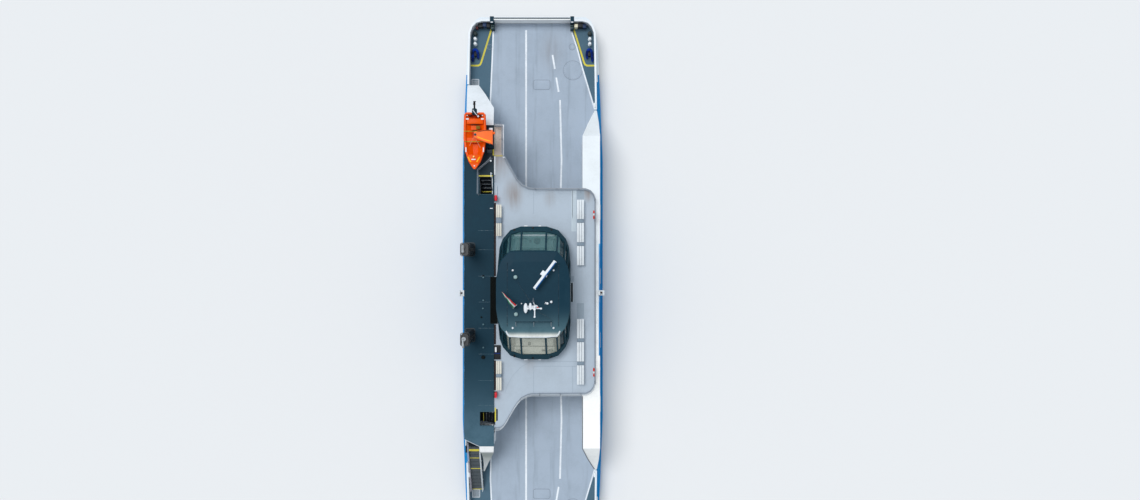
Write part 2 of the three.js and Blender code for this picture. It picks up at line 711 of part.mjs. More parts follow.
function makeWheelhouse() {
  const base = prism(wheelhouseRing(0, 0, 0), UPPER_DECK + GAP, WINDOW_SILL);
  const room = prism(wheelhouseRing(0, WALL, 0), UPPER_DECK - 1, WINDOW_SILL + 1);
  const top = WHEELHOUSE_TOP - GAP;
  const band = windowBand(0, WALL, WINDOW_SILL, top);
  const doorway = box([WHEELHOUSE_X + 2, WHEELHOUSE_X + 3.2], WHEELHOUSE_DOOR_Y, [
    UPPER_DECK - WALL,
    UPPER_DECK + DOOR_HIGH,
  ]);
  let walls = join(base.subtract(room), band).subtract(doorway);
  const sill = wheelhouseRing(0, 0, WINDOW_SILL);
  const eave = wheelhouseRing(2, 0, WHEELHOUSE_TOP);
  sill.forEach((p, i) => {
    const next = (i + 1) % sill.length;
    const atDoor = Math.abs(p[0] - sill[next][0]) < 0.01 && p[0] > WHEELHOUSE_X;
    if (!atDoor) {
      walls = walls.subtract(paneCutter(p, sill[next], eave[next], eave[i]));
    }
  });
  piece("wheelhouse_walls", walls, PAINT.slate);
  const glazing = windowBand(WALL + 2 * GAP, WALL + GLASS, WINDOW_SILL + 0.02, top - 0.02);
  piece("wheelhouse_glass", glazing.subtract(doorway), PAINT.glass, 0.1);
  const doorX = WHEELHOUSE_X + WHEELHOUSE[0][0] - 0.08;
  const leaf = box([doorX, doorX + 0.06], [WHEELHOUSE_DOOR_Y[0] + 0.02, WHEELHOUSE_DOOR_Y[1] - 0.02], [
    UPPER_DECK + 0.02,
    UPPER_DECK + DOOR_HIGH - 0.02,
  ]);
  piece("wheelhouse_door", leaf, PAINT.slate);
}

const ROOF_CROWN = 0.22;

function makeWheelhouseRoof() {
  const edge = (inset, z) => wheelhouseRing(2, inset, z);
  const roof = loft([
    edge(0, WHEELHOUSE_TOP),
    edge(-0.06, WHEELHOUSE_TOP + 0.04),
    edge(0, WHEELHOUSE_TOP + 0.1),
    edge(0.75, WHEELHOUSE_TOP + ROOF_CROWN),
  ]);
  piece("wheelhouse_roof", roof, PAINT.slate, 0.45);
}

// Steering desks and chairs, one set at each end of the wheelhouse
function makeHelms() {
  const floor = UPPER_DECK + GAP;
  for (const [name, end] of [["bow", 1], ["stern", -1]]) {
    const span = (a, b) => (end > 0 ? [a, b] : [-b, -a]);
    const x = WHEELHOUSE_X;
    const desk = join(
      box([x - 1.5, x + 1.5], span(3.55, 4.25), [floor, floor + 0.95]),
      box([x - 1.5, x - 1.0], span(2.75, 3.6), [floor, floor + 0.85]),
      box([x + 1.0, x + 1.5], span(2.75, 3.6), [floor, floor + 0.85]),
    );
    const at = [x + end * 0.1, end * 2.6];
    const mat = box([x - 0.4, x + 0.4], span(2.2, 3.6), [floor, floor + 0.03]);
    const chair = join(
      drum(0.28, floor, floor + 0.05, at, 12),
      drum(0.05, floor + 0.02, floor + 0.5, at, 8),
      box([at[0] - 0.26, at[0] + 0.26], [at[1] - 0.26, at[1] + 0.26], [floor + 0.48, floor + 0.6]),
      box([at[0] - 0.24, at[0] + 0.24], span(2.32, 2.42), [floor + 0.58, floor + 1.25]),
    );
    piece("helm_" + name, join(desk, mat, chair), PAINT.cream);
  }
}

// Roof fittings of the wheelhouse
const ROOF_CENTRE = WHEELHOUSE_TOP + ROOF_CROWN;
const RADAR_AT = [1.3, 1.54];
const RADAR_HEADING = 37;
const SCANNER_LONG = 2.6;
const MAST_AT = [0.62, -0.95];

function makeRadar() {
  const pedestal = join(
    drum(0.2, ROOF_CENTRE + GAP, ROOF_CENTRE + 0.08, RADAR_AT, 12),
    drum(0.11, ROOF_CENTRE + 0.05, ROOF_CENTRE + 0.42, RADAR_AT, 12),
    drum(0.16, ROOF_CENTRE + 0.38, ROOF_CENTRE + 0.58, RADAR_AT, 12),
  );
  piece("radar_pedestal", pedestal, PAINT.white);
  const low = ROOF_CENTRE + 0.6;
  const half = SCANNER_LONG / 2;
  const scanner = join(
    box([-0.09, 0.09], [-half, half], [low + 0.05, low + 0.2]),
    drum(0.1, low, low + 0.1, [0, 0], 12),
  );
  piece("radar_scanner", placed(scanner, [...RADAR_AT, 0], "Z", -RADAR_HEADING), PAINT.white);
}

function makeMast() {
  const top = ROOF_CENTRE + 2.3;
  const [x, y] = MAST_AT;
  const foot = ROOF_CENTRE + GAP;
  const mast = join(
    drum(0.16, foot, foot + 0.06, MAST_AT, 12),
    drum(0.06, foot + 0.03, top, MAST_AT, 8),
    box([x - 0.55, x + 0.5], [y - 0.04, y + 0.04], [top - 0.75, top - 0.67]),
    box([x - 0.04, x + 0.04], [y - 0.6, y + 0.2], [top - 0.3, top - 0.22]),
    drum(0.09, top - 0.1, top + 0.15, MAST_AT, 10),
  );
  const at = [-0.14, -1.02, ROOF_CENTRE + 0.32];
  const radome = new THREE.SphereGeometry(1, 14, 8).scale(0.16, 0.39, 0.15).translate(...at);
  const post = drum(0.05, foot, at[2], [at[0], at[1]], 8);
  const plinth = box([at[0] - 0.12, x + 0.14], [at[1] - 0.08, y + 0.1], [foot, foot + 0.03]);
  piece("signal_mast", join(mast, plinth, post, solid(radome)), PAINT.white);
}

// Two black funnels at the port edge of the house roof, with round corners and two pipe ends each
const FUNNEL_Y = 3.44;
const FUNNEL_TOP = CAR_DECK + 8.2;
const FUNNEL = { x: -4.8, foot: [0.33, 0.48], top: [0.3, 0.45], corner: 0.12, pipe: 0.13 };

function funnelRing([halfWide, halfLong], y, z) {
  const { x, corner } = FUNNEL;
  const quarter = [[halfWide, halfLong - corner], [halfWide - corner, halfLong]];
  return allRound(quarter).map(([across, along]) => [x + across, y + along, z]);
}

function makeFunnels() {
  const roof = alongShip(ROOF_SECTION.map(([x, z]) => [x, z + GAP]), -FUNNEL_Y - 1, FUNNEL_Y + 1);
  for (const [name, y] of [["bow", FUNNEL_Y], ["stern", -FUNNEL_Y]]) {
    const stack = loft([
      funnelRing(FUNNEL.foot, y, ROOF_TOP - WALL / 2),
      funnelRing(FUNNEL.top, y, FUNNEL_TOP),
    ]).subtract(roof);
    const pipes = [-0.16, 0.16].map((side) =>
      drum(FUNNEL.pipe, FUNNEL_TOP - 0.1, FUNNEL_TOP + 0.12, [FUNNEL.x - 0.08, y + side], 12),
    );
    piece("funnel_" + name, join(stack, ...pipes), PAINT.black);
  }
}

// Benches of the upper deck: seats of one row joined by the rail below them.
// Columns: name, x, seat width, seat length, middles of the seats.
const BENCHES = [
  ["benches_port_bow", -2.47, 0.43, 1.03, [6.52, 5.03]],
  ["benches_port_stern", -2.47, 0.43, 1.03, [-6.0, -7.32]],
  ["benches_starboard_bow", 4.07, 0.55, 1.57, [2.95, 4.8, 6.65]],
  ["benches_starboard_stern", 4.07, 0.55, 1.57, [-2.9, -4.75, -6.6]],
];

function makeBenches() {
  for (const [name, x, wide, long, middles] of BENCHES) {
    const ends = [Math.min(...middles), Math.max(...middles)];
    const seats = middles.flatMap((y) => [
      box([x - wide / 2, x + wide / 2], [y - long / 2, y + long / 2], [
        UPPER_DECK + 0.4,
        UPPER_DECK + 0.46,
      ]),
      ...[-0.35, 0.35].map((share) =>
        box([x - wide / 3, x + wide / 3], [y + share * long - 0.03, y + share * long + 0.03], [
          UPPER_DECK + GAP,
          UPPER_DECK + 0.42,
        ]),
      ),
    ]);
    const rail = box([x - 0.04, x + 0.04], ends, [UPPER_DECK + 0.1, UPPER_DECK + 0.16]);
    piece(name, join(rail, ...seats), PAINT.white, 0.6);
  }
}

// Rescue boat on the house roof, stern towards the bow. Columns: y, half breadth, keel, gunwale.
const BOAT_X = -4.29;
const BOAT_KEEL = ROOF_TOP + 0.32;
const BOAT_SECTIONS = [
  [14.27, 0.7, 0.0, 0.84],
  [14.12, 0.82, 0.0, 0.84],
  [13.2, 0.86, 0.0, 0.84],
  [12.2, 0.87, 0.0, 0.86],
  [11.2, 0.74, 0.04, 0.92],
  [10.4, 0.46, 0.16, 1.0],
  [9.97, 0.19, 0.34, 1.04],
  [9.78, 0.05, 0.5, 1.06],
];

function boatSection([y, half, keel, gunwale], inset, lift) {
  const wide = Math.max(half - inset, 0.012);
  const low = BOAT_KEEL + keel + lift;
  const high = BOAT_KEEL + gunwale;
  const side = [
    [wide, high],
    [wide * 0.96, low + 0.42 * (high - low)],
    [wide * 0.3, low],
  ];
  return [...side, ...side.map(([x, z]) => [-x, z]).reverse()].map(([x, z]) => [BOAT_X + x, y, z]);
}

function boatHull(grown = 0) {
  return loft(BOAT_SECTIONS.map((row) => boatSection(row, -grown, -grown)));
}

// Cradle under the boat: two chocks on two beams
function makeBoatCradle() {
  const foot = ROOF_TOP + GAP;
  const chocks = [10.9, 12.9].map((y) =>
    acrossShip([[y - 0.08, foot], [y + 0.08, foot], [y + 0.05, BOAT_KEEL + 0.1],
      [y - 0.05, BOAT_KEEL + 0.1]], BOAT_X - 0.5, BOAT_X + 0.5).subtract(boatHull(GAP)),
  );
  const beams = [-0.4, 0.4].map((side) =>
    box([BOAT_X + side - 0.05, BOAT_X + side + 0.05], [10.84, 12.96], [foot, foot + 0.08]),
  );
  piece("boat_cradle", join(...chocks, ...beams), PAINT.slate);
}

function makeRescueBoat() {
  const floor = 0.36;
  const raised = ([y, half, keel, gunwale], top) => [y, half, keel, gunwale + top];
  const room = loft(
    BOAT_SECTIONS.slice(1, 6).map((row, i) => boatSection(raised(row, 0.2), i === 4 ? 0.16 : 0.12, floor)),
  );
  const notch = box([BOAT_X - 0.26, BOAT_X + 0.26], [14.1, 14.4], [BOAT_KEEL + 0.55, BOAT_KEEL + 1.2]);
  const thwart = box([BOAT_X - 0.74, BOAT_X + 0.74], [11.9, 12.3], [BOAT_KEEL + 0.5, BOAT_KEEL + 0.62]);
  const console = box([BOAT_X - 0.3, BOAT_X + 0.3], [12.9, 13.3], [BOAT_KEEL + 0.3, BOAT_KEEL + 0.8]);
  const foredeck = loft(
    BOAT_SECTIONS.slice(5).map((row) => {
      const ring = boatSection(row, 0.02, 0);
      return ring.map(([x, y, z]) => [x, y, Math.max(z, BOAT_KEEL + row[3] - 0.12)]);
    }),
  );
  const boat = join(boatHull().subtract(room).subtract(notch), thwart, console, foredeck);
  piece("rescue_boat", boat, PAINT.orange);
  const cowl = box([BOAT_X - 0.16, BOAT_X + 0.16], [14.04, 14.5], [BOAT_KEEL + 0.86, BOAT_KEEL + 1.2]);
  const leg = bar([BOAT_X, 14.4, BOAT_KEEL + 1.0], [BOAT_X - 0.06, 15.17, BOAT_KEEL + 0.66], 0.07, 8);
  const clamp = box([BOAT_X - 0.12, BOAT_X + 0.12], [14.28, 14.39], [BOAT_KEEL + 0.5, BOAT_KEEL + 0.95]);
  piece("outboard_motor", join(cowl, leg, clamp), PAINT.black);
}

// Slewing davit beside the boat, its jib over the boat's middle
const DAVIT_AT = [-3.22, 12.2];
const JIB_Z = CAR_DECK + 6.75;

const DAVIT_FOOT = ROOF_TOP + 0.7;

function makeDavitBase() {
  const [x, y] = DAVIT_AT;
  const locker = box([x - 0.24, x + 0.27], [y - 0.62, y + 0.98], [ROOF_TOP + GAP, ROOF_TOP + 0.3]);
  piece("davit_base", join(locker, drum(0.2, ROOF_TOP + 0.2, DAVIT_FOOT, DAVIT_AT, 16)), PAINT.slate);
}

function makeDavit() {
  const [x, y] = DAVIT_AT;
  const column = drum(0.17, DAVIT_FOOT + 0.012, JIB_Z + 0.1, DAVIT_AT, 16);
  const jib = loft([
    [[x + 0.45, y - 0.6, JIB_Z], [x + 0.45, y + 0.5, JIB_Z], [x + 0.45, y + 0.5, JIB_Z + 0.34],
      [x + 0.45, y - 0.6, JIB_Z + 0.34]],
    [[x - 0.2, y - 0.4, JIB_Z], [x - 0.2, y + 0.5, JIB_Z], [x - 0.2, y + 0.5, JIB_Z + 0.34],
      [x - 0.2, y - 0.4, JIB_Z + 0.34]],
    [[x - 1.0, y - 0.05, JIB_Z + 0.1], [x - 1.0, y + 0.35, JIB_Z + 0.1],
      [x - 1.0, y + 0.35, JIB_Z + 0.3], [x - 1.0, y - 0.05, JIB_Z + 0.3]],
  ]);
  const sheave = drum(0.08, JIB_Z - 0.1, JIB_Z + 0.2, [x - 0.9, y + 0.15], 10);
  const knob = bar([x + 0.4, y + 0.28, JIB_Z + 0.17], [x + 0.62, y + 0.28, JIB_Z + 0.17], 0.1, 10);
  piece("davit_arm", join(column, jib, sheave, knob), PAINT.orange);
}

// A straight flight of steps with a stringer at each side, climbing along +y from (0, 0, 0)
function flight(rise, run, steps, wide) {
  const [riser, tread] = [rise / steps, run / (steps - 1)];
  const treads = Array.from({ length: steps - 1 }, (_, i) =>
    box([-wide / 2, wide / 2], [i * tread, i * tread + tread * 0.95], [
      (i + 1) * riser - 0.04,
      (i + 1) * riser,
    ]),
  );
  const slope = [[-0.1, 0], [0.2, 0], [run, rise - 0.26], [run, rise], [run - 0.1, rise], [-0.1, 0.12]];
  const stringers = [-wide / 2, wide / 2 - 0.05].map((x) => acrossShip(slope, x, x + 0.05));
  return join(...treads, ...stringers);
}

const OUTSIDE_STAIR = { x: -4.72, foot: -17.2, head: -13.36, wide: 1.0 };

function makeStairs() {
  const { x, foot, head, wide } = OUTSIDE_STAIR;
  const rise = LOUNGE_DECK - CAR_DECK - GAP;
  const climb = placed(flight(rise, head - foot, 12, wide), [x, foot, CAR_DECK + GAP]);
  const landing = box([x - wide / 2, x + wide / 2], [head - 0.02, HOUSE_STERN - 0.01], [
    LOUNGE_DECK - 0.08,
    LOUNGE_DECK,
  ]);
  const legs = [x - 0.45, x + 0.45].map((at) =>
    bar([at, head + 0.1, CAR_DECK + GAP], [at, head + 0.1, LOUNGE_DECK - 0.04], 0.04, 6),
  );
  piece("outside_stair", join(climb, landing, ...legs), PAINT.grey);
  const inside = UPPER_DECK - LOUNGE_DECK - 2 * GAP;
  const bowRun = 2.6;
  const bow = flight(inside, bowRun, 10, 0.94);
  const bowAt = [-3.57, BOW_WELL.y[1] - bowRun - 0.01, LOUNGE_DECK + GAP];
  piece("stair_bow_well", placed(bow, bowAt), PAINT.grey);
  const sternRun = 2.1;
  const stern = flight(inside, sternRun, 9, 0.94);
  const sternY = (STERN_WELL.y[0] + STERN_WELL.y[1]) / 2;
  const sternAt = [STERN_WELL.x[1] - sternRun - 0.01, sternY, LOUNGE_DECK + GAP];
  piece("stair_stern_well", placed(stern, sternAt, "Z", -90), PAINT.grey);
}

// Steering thrusters under both raked ends, each with a leg, a pod and a pulling propeller
const POD_Z = -1.17;

// One propeller blade. Columns: radius, half width across, half width along, thickness.
const BLADE = [
  [0.08, 0.06, 0.06, 0.03],
  [0.28, 0.17, 0.09, 0.025],
  [0.42, 0.1, 0.05, 0.015],
];

function makeThrusters() {
  for (const [name, end] of [["bow", 1], ["stern", -1]]) {
    const at = [0, end * THRUSTER_AT];
    const top = THRUSTER_SEAT - 0.012;
    const podShape = [[0, -0.45], [0.1, -0.42], [0.17, -0.25], [0.19, 0.1], [0.17, 0.33], [0, 0.33]];
    const lathe = new THREE.LatheGeometry(podShape.map(([r, y]) => new THREE.Vector2(r, y)), 12);
    const pod = solid(lathe.rotateZ(end > 0 ? 0 : Math.PI).translate(0, at[1], POD_Z));
    const fin = loft([
      [[0, at[1] - 0.28, POD_Z], [0.08, at[1], POD_Z], [0, at[1] + 0.28, POD_Z], [-0.08, at[1], POD_Z]],
      [[0, at[1] - 0.36, top - 0.1], [0.13, at[1], top - 0.1], [0, at[1] + 0.36, top - 0.1],
        [-0.13, at[1], top - 0.1]],
    ]);
    piece("thruster_" + name, join(drum(0.4, top - 0.12, top, at, 20), fin, pod), PAINT.grey);
    const hubAt = at[1] + end * 0.47;
    const hub = new THREE.CylinderGeometry(0.08, 0.13, 0.24, 12);
    const hubSolid = solid(hub.rotateZ(end > 0 ? 0 : Math.PI).translate(0, hubAt, POD_Z));
    const blade = loft(BLADE.map(([r, x, y, thick]) =>
      [[-x, -y, r], [-x, -y - thick, r], [x, y - thick, r], [x, y, r]],
    ));
    const blades = [0, 90, 180, 270].map((turn) => placed(blade, [0, hubAt, POD_Z], "Y", turn));
    piece("propeller_" + name, join(hubSolid, ...blades), PAINT.bronze, 0.35, 0.9);
  }
}

makeHull();
makeCarDeck();
makeBelts();
makeBulwarks();
makeRamps();
makeMooringGear();
makeHouse();
makeLounge();
makeHouseRoof();
makeFairings();
makeStarboardCasing();
makeUpperDeck();
makeBoardingPlatform();
makeRails();
makeWheelhouse();
makeWheelhouseRoof();
makeHelms();
makeRadar();
makeMast();
makeFunnels();
makeBenches();
makeBoatCradle();
makeRescueBoat();
makeDavitBase();
makeDavit();
makeStairs();
makeThrusters();

export default ferry;
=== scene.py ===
# %% [markdown]
# # A double-ended ferry, seen from straight above
# The CAD model gives every load-bearing piece its shape and place. This lesson dresses it: paint, wear,
# railings, deck markings, slats, straps and small fittings. Sizes of pieces are the real ship's, in metres,
# and one number turns them into the half-size model's. Only the inputs of node trees are the model's own.

# %% Load the fixed frame
import math
import bmesh
import bpy
from mathutils import Matrix, Vector


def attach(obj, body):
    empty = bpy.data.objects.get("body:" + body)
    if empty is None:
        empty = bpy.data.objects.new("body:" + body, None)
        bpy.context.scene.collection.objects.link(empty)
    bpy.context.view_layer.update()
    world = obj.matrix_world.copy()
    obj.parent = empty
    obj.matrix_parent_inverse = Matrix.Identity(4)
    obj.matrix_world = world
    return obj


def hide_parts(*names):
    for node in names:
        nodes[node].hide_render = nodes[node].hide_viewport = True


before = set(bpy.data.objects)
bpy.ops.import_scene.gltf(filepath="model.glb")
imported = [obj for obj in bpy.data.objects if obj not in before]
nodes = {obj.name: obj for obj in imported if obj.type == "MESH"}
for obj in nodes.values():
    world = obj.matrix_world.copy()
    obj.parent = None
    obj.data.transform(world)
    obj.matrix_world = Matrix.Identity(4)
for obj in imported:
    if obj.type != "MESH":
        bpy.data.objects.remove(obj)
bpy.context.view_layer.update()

MODEL = 0.5
CAR_DECK, UPPER_DECK, ROOF_TOP, WHEELHOUSE_TOP = 1.30, 5.90, 6.02, 9.17
BULWARK_TOP = CAR_DECK + 1.1
WHEELHOUSE_X = 0.4
ENDS = ((1, "bow"), (-1, "stern"))
CORNERS = [(end, side, f"{end_name}_{side_name}") for end, end_name in ENDS
    for side, side_name in ((-1, "port"), (1, "starboard"))]

# %% [markdown]
# ## Camera
# The picture is taken from straight above, so the camera looks down the Z axis. Its height follows from how
# much the upper levels grow against the car deck. A wide 25 mm lens gives that growth, and from this far
# nothing is out of focus.

# %% Camera
CAMERA_PLACE = Vector((3.23, 3.4, 69.7))
camera = bpy.data.objects.new("camera", bpy.data.cameras.new("camera"))
bpy.context.collection.objects.link(camera)
camera.data.lens = 25.0
camera.data.sensor_width = 36.0
camera.data.clip_end = 200
camera.location = CAMERA_PLACE * MODEL
bpy.context.scene.camera = camera
print("camera at", tuple(camera.location))

# %% [markdown]
# ## Floor and light
# The floor is a plain pale plane at the waterline. Most of the light is an even pale sky, as on a hazy day.
# A weak, very soft sun stands high on the port side, so tall things throw a short blurred shadow to
# starboard.

# %% Floor and light
FLOOR_REACH = 60
floor_mesh = bpy.data.meshes.new("floor")
floor_corners = [(x * FLOOR_REACH, y * FLOOR_REACH, 0) for x, y in ((-1, -1), (1, -1), (1, 1), (-1, 1))]
floor_mesh.from_pydata(floor_corners, [], [(0, 1, 2, 3)])
floor = bpy.data.objects.new("floor", floor_mesh)
bpy.context.collection.objects.link(floor)

SUN_FROM = Vector((-0.28, 0.3, 1.0)).normalized()
sun = bpy.data.objects.new("sun", bpy.data.lights.new("sun", "SUN"))
bpy.context.collection.objects.link(sun)
sun.data.energy = 1.7
sun.data.angle = math.radians(30)
sun.rotation_euler = SUN_FROM.to_track_quat("Z", "Y").to_euler()

world = bpy.data.worlds.new("sky")
bpy.context.scene.world = world
world.use_nodes = True
sky = world.node_tree.nodes["Background"].inputs
sky["Color"].default_value = (0.86, 0.93, 1.0, 1)
sky["Strength"].default_value = 0.62
bpy.context.scene.view_settings.view_transform = "Standard"
print("sun from", tuple(round(v, 2) for v in SUN_FROM))

# %% [markdown]
# ## Words for building node trees
# Shaders and Geometry Nodes are trees of small nodes. This class adds a node with its inputs filled by
# values or links, so each recipe reads from top to bottom. Colours are written as on a screen, 0 to 255.


# %% Node trees
def tone(colour):
    """A screen colour as the linear colour that a shader takes. A socket stays what it is."""
    if isinstance(colour, bpy.types.NodeSocket):
        return colour
    share = [value / 255 for value in colour]
    return (*[((s + 0.055) / 1.055) ** 2.4 if s > 0.04 else s / 12.92 for s in share], 1.0)


class Tree:
    """A node tree, with short words for the nodes that this ship's recipes use."""

    def __init__(self, tree):
        self.tree = tree

    def feed(self, socket, value):
        if isinstance(value, bpy.types.NodeSocket):
            self.tree.links.new(value, socket)
        else:
            socket.default_value = value

    def add(self, kind, inputs=None, out=0, **settings):
        """Adds a node. Returns one of its outputs, or all of them if out is None."""
        node = self.tree.nodes.new(kind)
        for name, value in settings.items():
            setattr(node, name, value)
        for key, value in (inputs or {}).items():
            self.feed(node.inputs[key], value)
        return node.outputs if out is None else node.outputs[out]

    def math(self, operation, *values, clamp=False):
        return self.add("ShaderNodeMath", dict(enumerate(values)), operation=operation, use_clamp=clamp)

    def mix(self, share, first, second):
        return self.add("ShaderNodeMix", {0: share, 6: tone(first), 7: tone(second)}, 2, data_type="RGBA")

    def ramp(self, value, low, high):
        """Goes smoothly from 0 at low to 1 at high."""
        inputs = {"Value": value, "From Min": low, "From Max": high}
        return self.add("ShaderNodeMapRange", inputs, interpolation_type="SMOOTHSTEP")

    def zone(self, value, low, high):
        """A ramp between two places, given in real metres."""
        return self.ramp(value, low * MODEL, high * MODEL)

    def noise(self, place, scale, detail, roughness=0.5):
        inputs = {"Vector": place, "Scale": scale, "Detail": detail, "Roughness": roughness}
        return self.add("ShaderNodeTexNoise", inputs)

    def place(self):
        return self.add("ShaderNodeTexCoord", out="Object")

    def xyz(self):
        return self.add("ShaderNodeSeparateXYZ", {0: self.place()}, None)

    def vector(self, operation, *values, out=0):
        return self.add("ShaderNodeVectorMath", dict(enumerate(values)), out, operation=operation)


def new_group(name, sizes, results):
    """A shader node group with named number sockets. Returns its tree, its inputs and what it puts out."""
    tree = bpy.data.node_groups.new(name, "ShaderNodeTree")
    for label, start in sizes.items():
        tree.interface.new_socket(label, in_out="INPUT", socket_type="NodeSocketFloat").default_value = start
    for label in results:
        tree.interface.new_socket(label, in_out="OUTPUT", socket_type="NodeSocketFloat")
    return Tree(tree), tree.nodes.new("NodeGroupInput").outputs, tree.nodes.new("NodeGroupOutput").inputs


print("words ready")

# %% [markdown]
# ## Wear along edges
# Paint goes first where ropes, shoes and hands rub: along the edges. A Bevel node rounds the surface's
# normal near an edge, so the angle between that normal and the flat one marks the edge. Noise then breaks
# the mark into chips. The group gives only a mask, so each finish decides what shows under its paint.


# %% Edge wear group
def make_edge_wear():
    sizes = {"Radius": 0.012, "Amount": 0.5, "Chip Scale": 22.0}
    group, given, result = new_group("edge wear", sizes, ["Mask"])
    round_normal = group.add("ShaderNodeBevel", {"Radius": given["Radius"]}, samples=4)
    flat_normal = group.add("ShaderNodeNewGeometry", out="True Normal")
    turn = group.vector("DOT_PRODUCT", round_normal, flat_normal, out="Value")
    chips = group.noise(group.place(), given["Chip Scale"], 6.0, 0.7)
    worn = group.math("MULTIPLY", group.ramp(turn, 0.995, 0.86), group.ramp(chips, 0.5, 0.62))
    group.feed(result[0], group.math("MULTIPLY", worn, given["Amount"], clamp=True))
    return group.tree


EDGE_WEAR = make_edge_wear()
print("group:", EDGE_WEAR.name)

# %% [markdown]
# ## Salt, soot and rain marks
# Dirt on a ship has two scales: broad cloudy patches where water stood and dried, and fine speckle. Rain
# also draws it down the walls, so a second output stretches the noise along Z into streaks.


# %% Grime group
def make_grime():
    sizes = {"Patch Scale": 0.8, "Speckle Scale": 14.0, "Amount": 0.4}
    group, given, result = new_group("grime", sizes, ["Patches", "Streaks", "Grain"])
    place = group.place()
    broad = group.noise(place, given["Patch Scale"], 8.0, 0.62)
    fine = group.noise(place, given["Speckle Scale"], 4.0, 0.6)
    both = group.math("ADD", broad, group.math("MULTIPLY", fine, 0.35))
    patches = group.math("MULTIPLY", group.ramp(both, 0.55, 0.95), given["Amount"], clamp=True)
    squeezed = group.add("ShaderNodeMapping", {"Vector": place, "Scale": (9.0, 9.0, 0.7)})
    drawn = group.noise(squeezed, 1.0, 5.0)
    streaks = group.math("MULTIPLY", group.ramp(drawn, 0.52, 0.75), given["Amount"], clamp=True)
    for socket, value in zip(result, (patches, streaks, fine)):
        group.feed(socket, value)
    return group.tree


GRIME = make_grime()
print("group:", GRIME.name)

# %% [markdown]
# ## Painted steel
# Nearly all of the ship is painted steel. One function makes such a paint from its colour, its dirt and its
# bare edge, and from how rough and dirty it is. It places both groups in the material with that paint's own
# numbers, and the shader itself, the Principled BSDF, stays outside them.


# %% Painted steel
class Finish(Tree):
    """A material in the making: its tree, its shader's inputs and the wear that all finishes share."""

    def __init__(self, name):
        self.material = bpy.data.materials.new(name)
        self.material.use_nodes = True
        super().__init__(self.material.node_tree)
        self.shader = self.tree.nodes["Principled BSDF"].inputs

    def set(self, values):
        for name, value in values.items():
            self.feed(self.shader[name], value)
        return self.material

    def weather(self, colour, dirt, bare, roughness=0.45, gloss=0.5, amount=0.4, wear=0.5, patch=0.8,
            bump=0.15, streaks=0.3):
        """Feeds the shader a paint colour under dirt patches, streaks and worn edges."""
        grime = self.add("ShaderNodeGroup", {"Patch Scale": patch, "Amount": amount}, None, node_tree=GRIME)
        edges = self.add("ShaderNodeGroup", {"Amount": wear}, "Mask", node_tree=EDGE_WEAR)
        soiled = self.mix(grime["Patches"], colour, dirt)
        streaked = self.mix(self.math("MULTIPLY", grime["Streaks"], streaks), soiled, dirt)
        rough = self.math("MULTIPLY_ADD", grime["Patches"], 0.25, roughness, clamp=True)
        relief = self.math("SUBTRACT", grime["Grain"], edges)
        raised = self.add("ShaderNodeBump", {"Strength": bump, "Distance": 0.002, "Height": relief})
        return self.set({"Base Color": self.mix(edges, streaked, bare), "Roughness": rough,
            "Normal": raised, "Specular IOR Level": gloss})


def painted(name, colour, dirt, bare, *shine, **numbers):
    """Shine is the roughness and the gloss, where they aren't the usual ones."""
    return Finish(name).weather(colour, dirt, bare, *shine, **numbers)


RUST = (120, 72, 45)
SALT = (176, 182, 186)
SOOT = (70, 72, 74)
RUSTY_PRIMER = (150, 118, 92)
DARK_SLATE, SLATE_DIRT, SLATE_EDGE = (14, 50, 66), (34, 66, 80), (86, 110, 120)

ship_white = painted("ship white", (232, 238, 243), (176, 180, 180), RUSTY_PRIMER, amount=0.3)
# ramp_white is painted brighter than ship white: painted light for the ramps' upright inner faces, which
# catch less of the sky.
ramp_white = painted("ramp white", (250, 250, 248), (206, 206, 200), RUSTY_PRIMER, amount=0.3)
slate = painted("slate paint", DARK_SLATE, SLATE_DIRT, SLATE_EDGE, 0.5, 0.12)
rail_white = painted("rail white", (226, 232, 236), (150, 146, 138), RUST, 0.35, amount=0.25)
door_slate = painted("door slate", (52, 78, 90), (80, 98, 106), SALT, 0.35)
bench_white = painted("bench white", (224, 230, 234), (160, 162, 162), SOOT, 0.5, wear=0.3)
bench_cream = painted("bench cream", (226, 222, 208), (164, 158, 146), SOOT, 0.5, wear=0.3)
platform_beige = painted("platform beige", (198, 188, 180), (150, 140, 132), RUST, 0.85, amount=0.8)
stair_dark = painted("stair dark", (62, 72, 78), (96, 100, 100), SALT, 0.6)
funnel_black = painted("funnel black", (24, 26, 28), SOOT, (96, 96, 96), 0.4, amount=0.6)
davit_orange = painted("davit orange", (255, 106, 6), (214, 98, 30), RUST, gloss=0.3, amount=0.3)
line_yellow = painted("line yellow", (218, 204, 62), (150, 146, 96), (90, 100, 110), 0.7, amount=0.6)
mooring_white = painted("mooring white", (206, 210, 208), (150, 140, 126), RUST, amount=0.5)
bottom_red = painted("bottom paint", (112, 44, 38), (92, 66, 52), SALT, 0.8, amount=0.6)
rail_steel = painted("rail grey", (150, 157, 166), (120, 126, 132), (190, 192, 194), gloss=0.3)
print("materials so far:", len(bpy.data.materials))

# %% [markdown]
# ## Paint that changes along the hull
# The belts and the hull's side are blue amidships and white round the ends, and the red bottom ends just
# above the water. One paint can carry all three: its colour is chosen by where a point lies, read from the
# Object coordinates, so the boundary stays put whatever the view.

# %% Hull paint
BLUE_TO = 17.9
BLUE, WHITE = (0, 136, 200), (226, 234, 240)


def make_hull_paint(name):
    finish = Finish(name)
    x, y, z = finish.xyz()
    slant = finish.math("MULTIPLY_ADD", z, -0.6, finish.math("ABSOLUTE", y))
    top = finish.mix(finish.zone(slant, BLUE_TO, BLUE_TO + 0.02), BLUE, WHITE)
    colour = finish.mix(finish.zone(z, 0.18, 0.17), top, (112, 44, 38))
    return finish.weather(colour, (140, 160, 172), RUST, 0.35, 0.1, amount=0.12, wear=0.6, streaks=0.5)


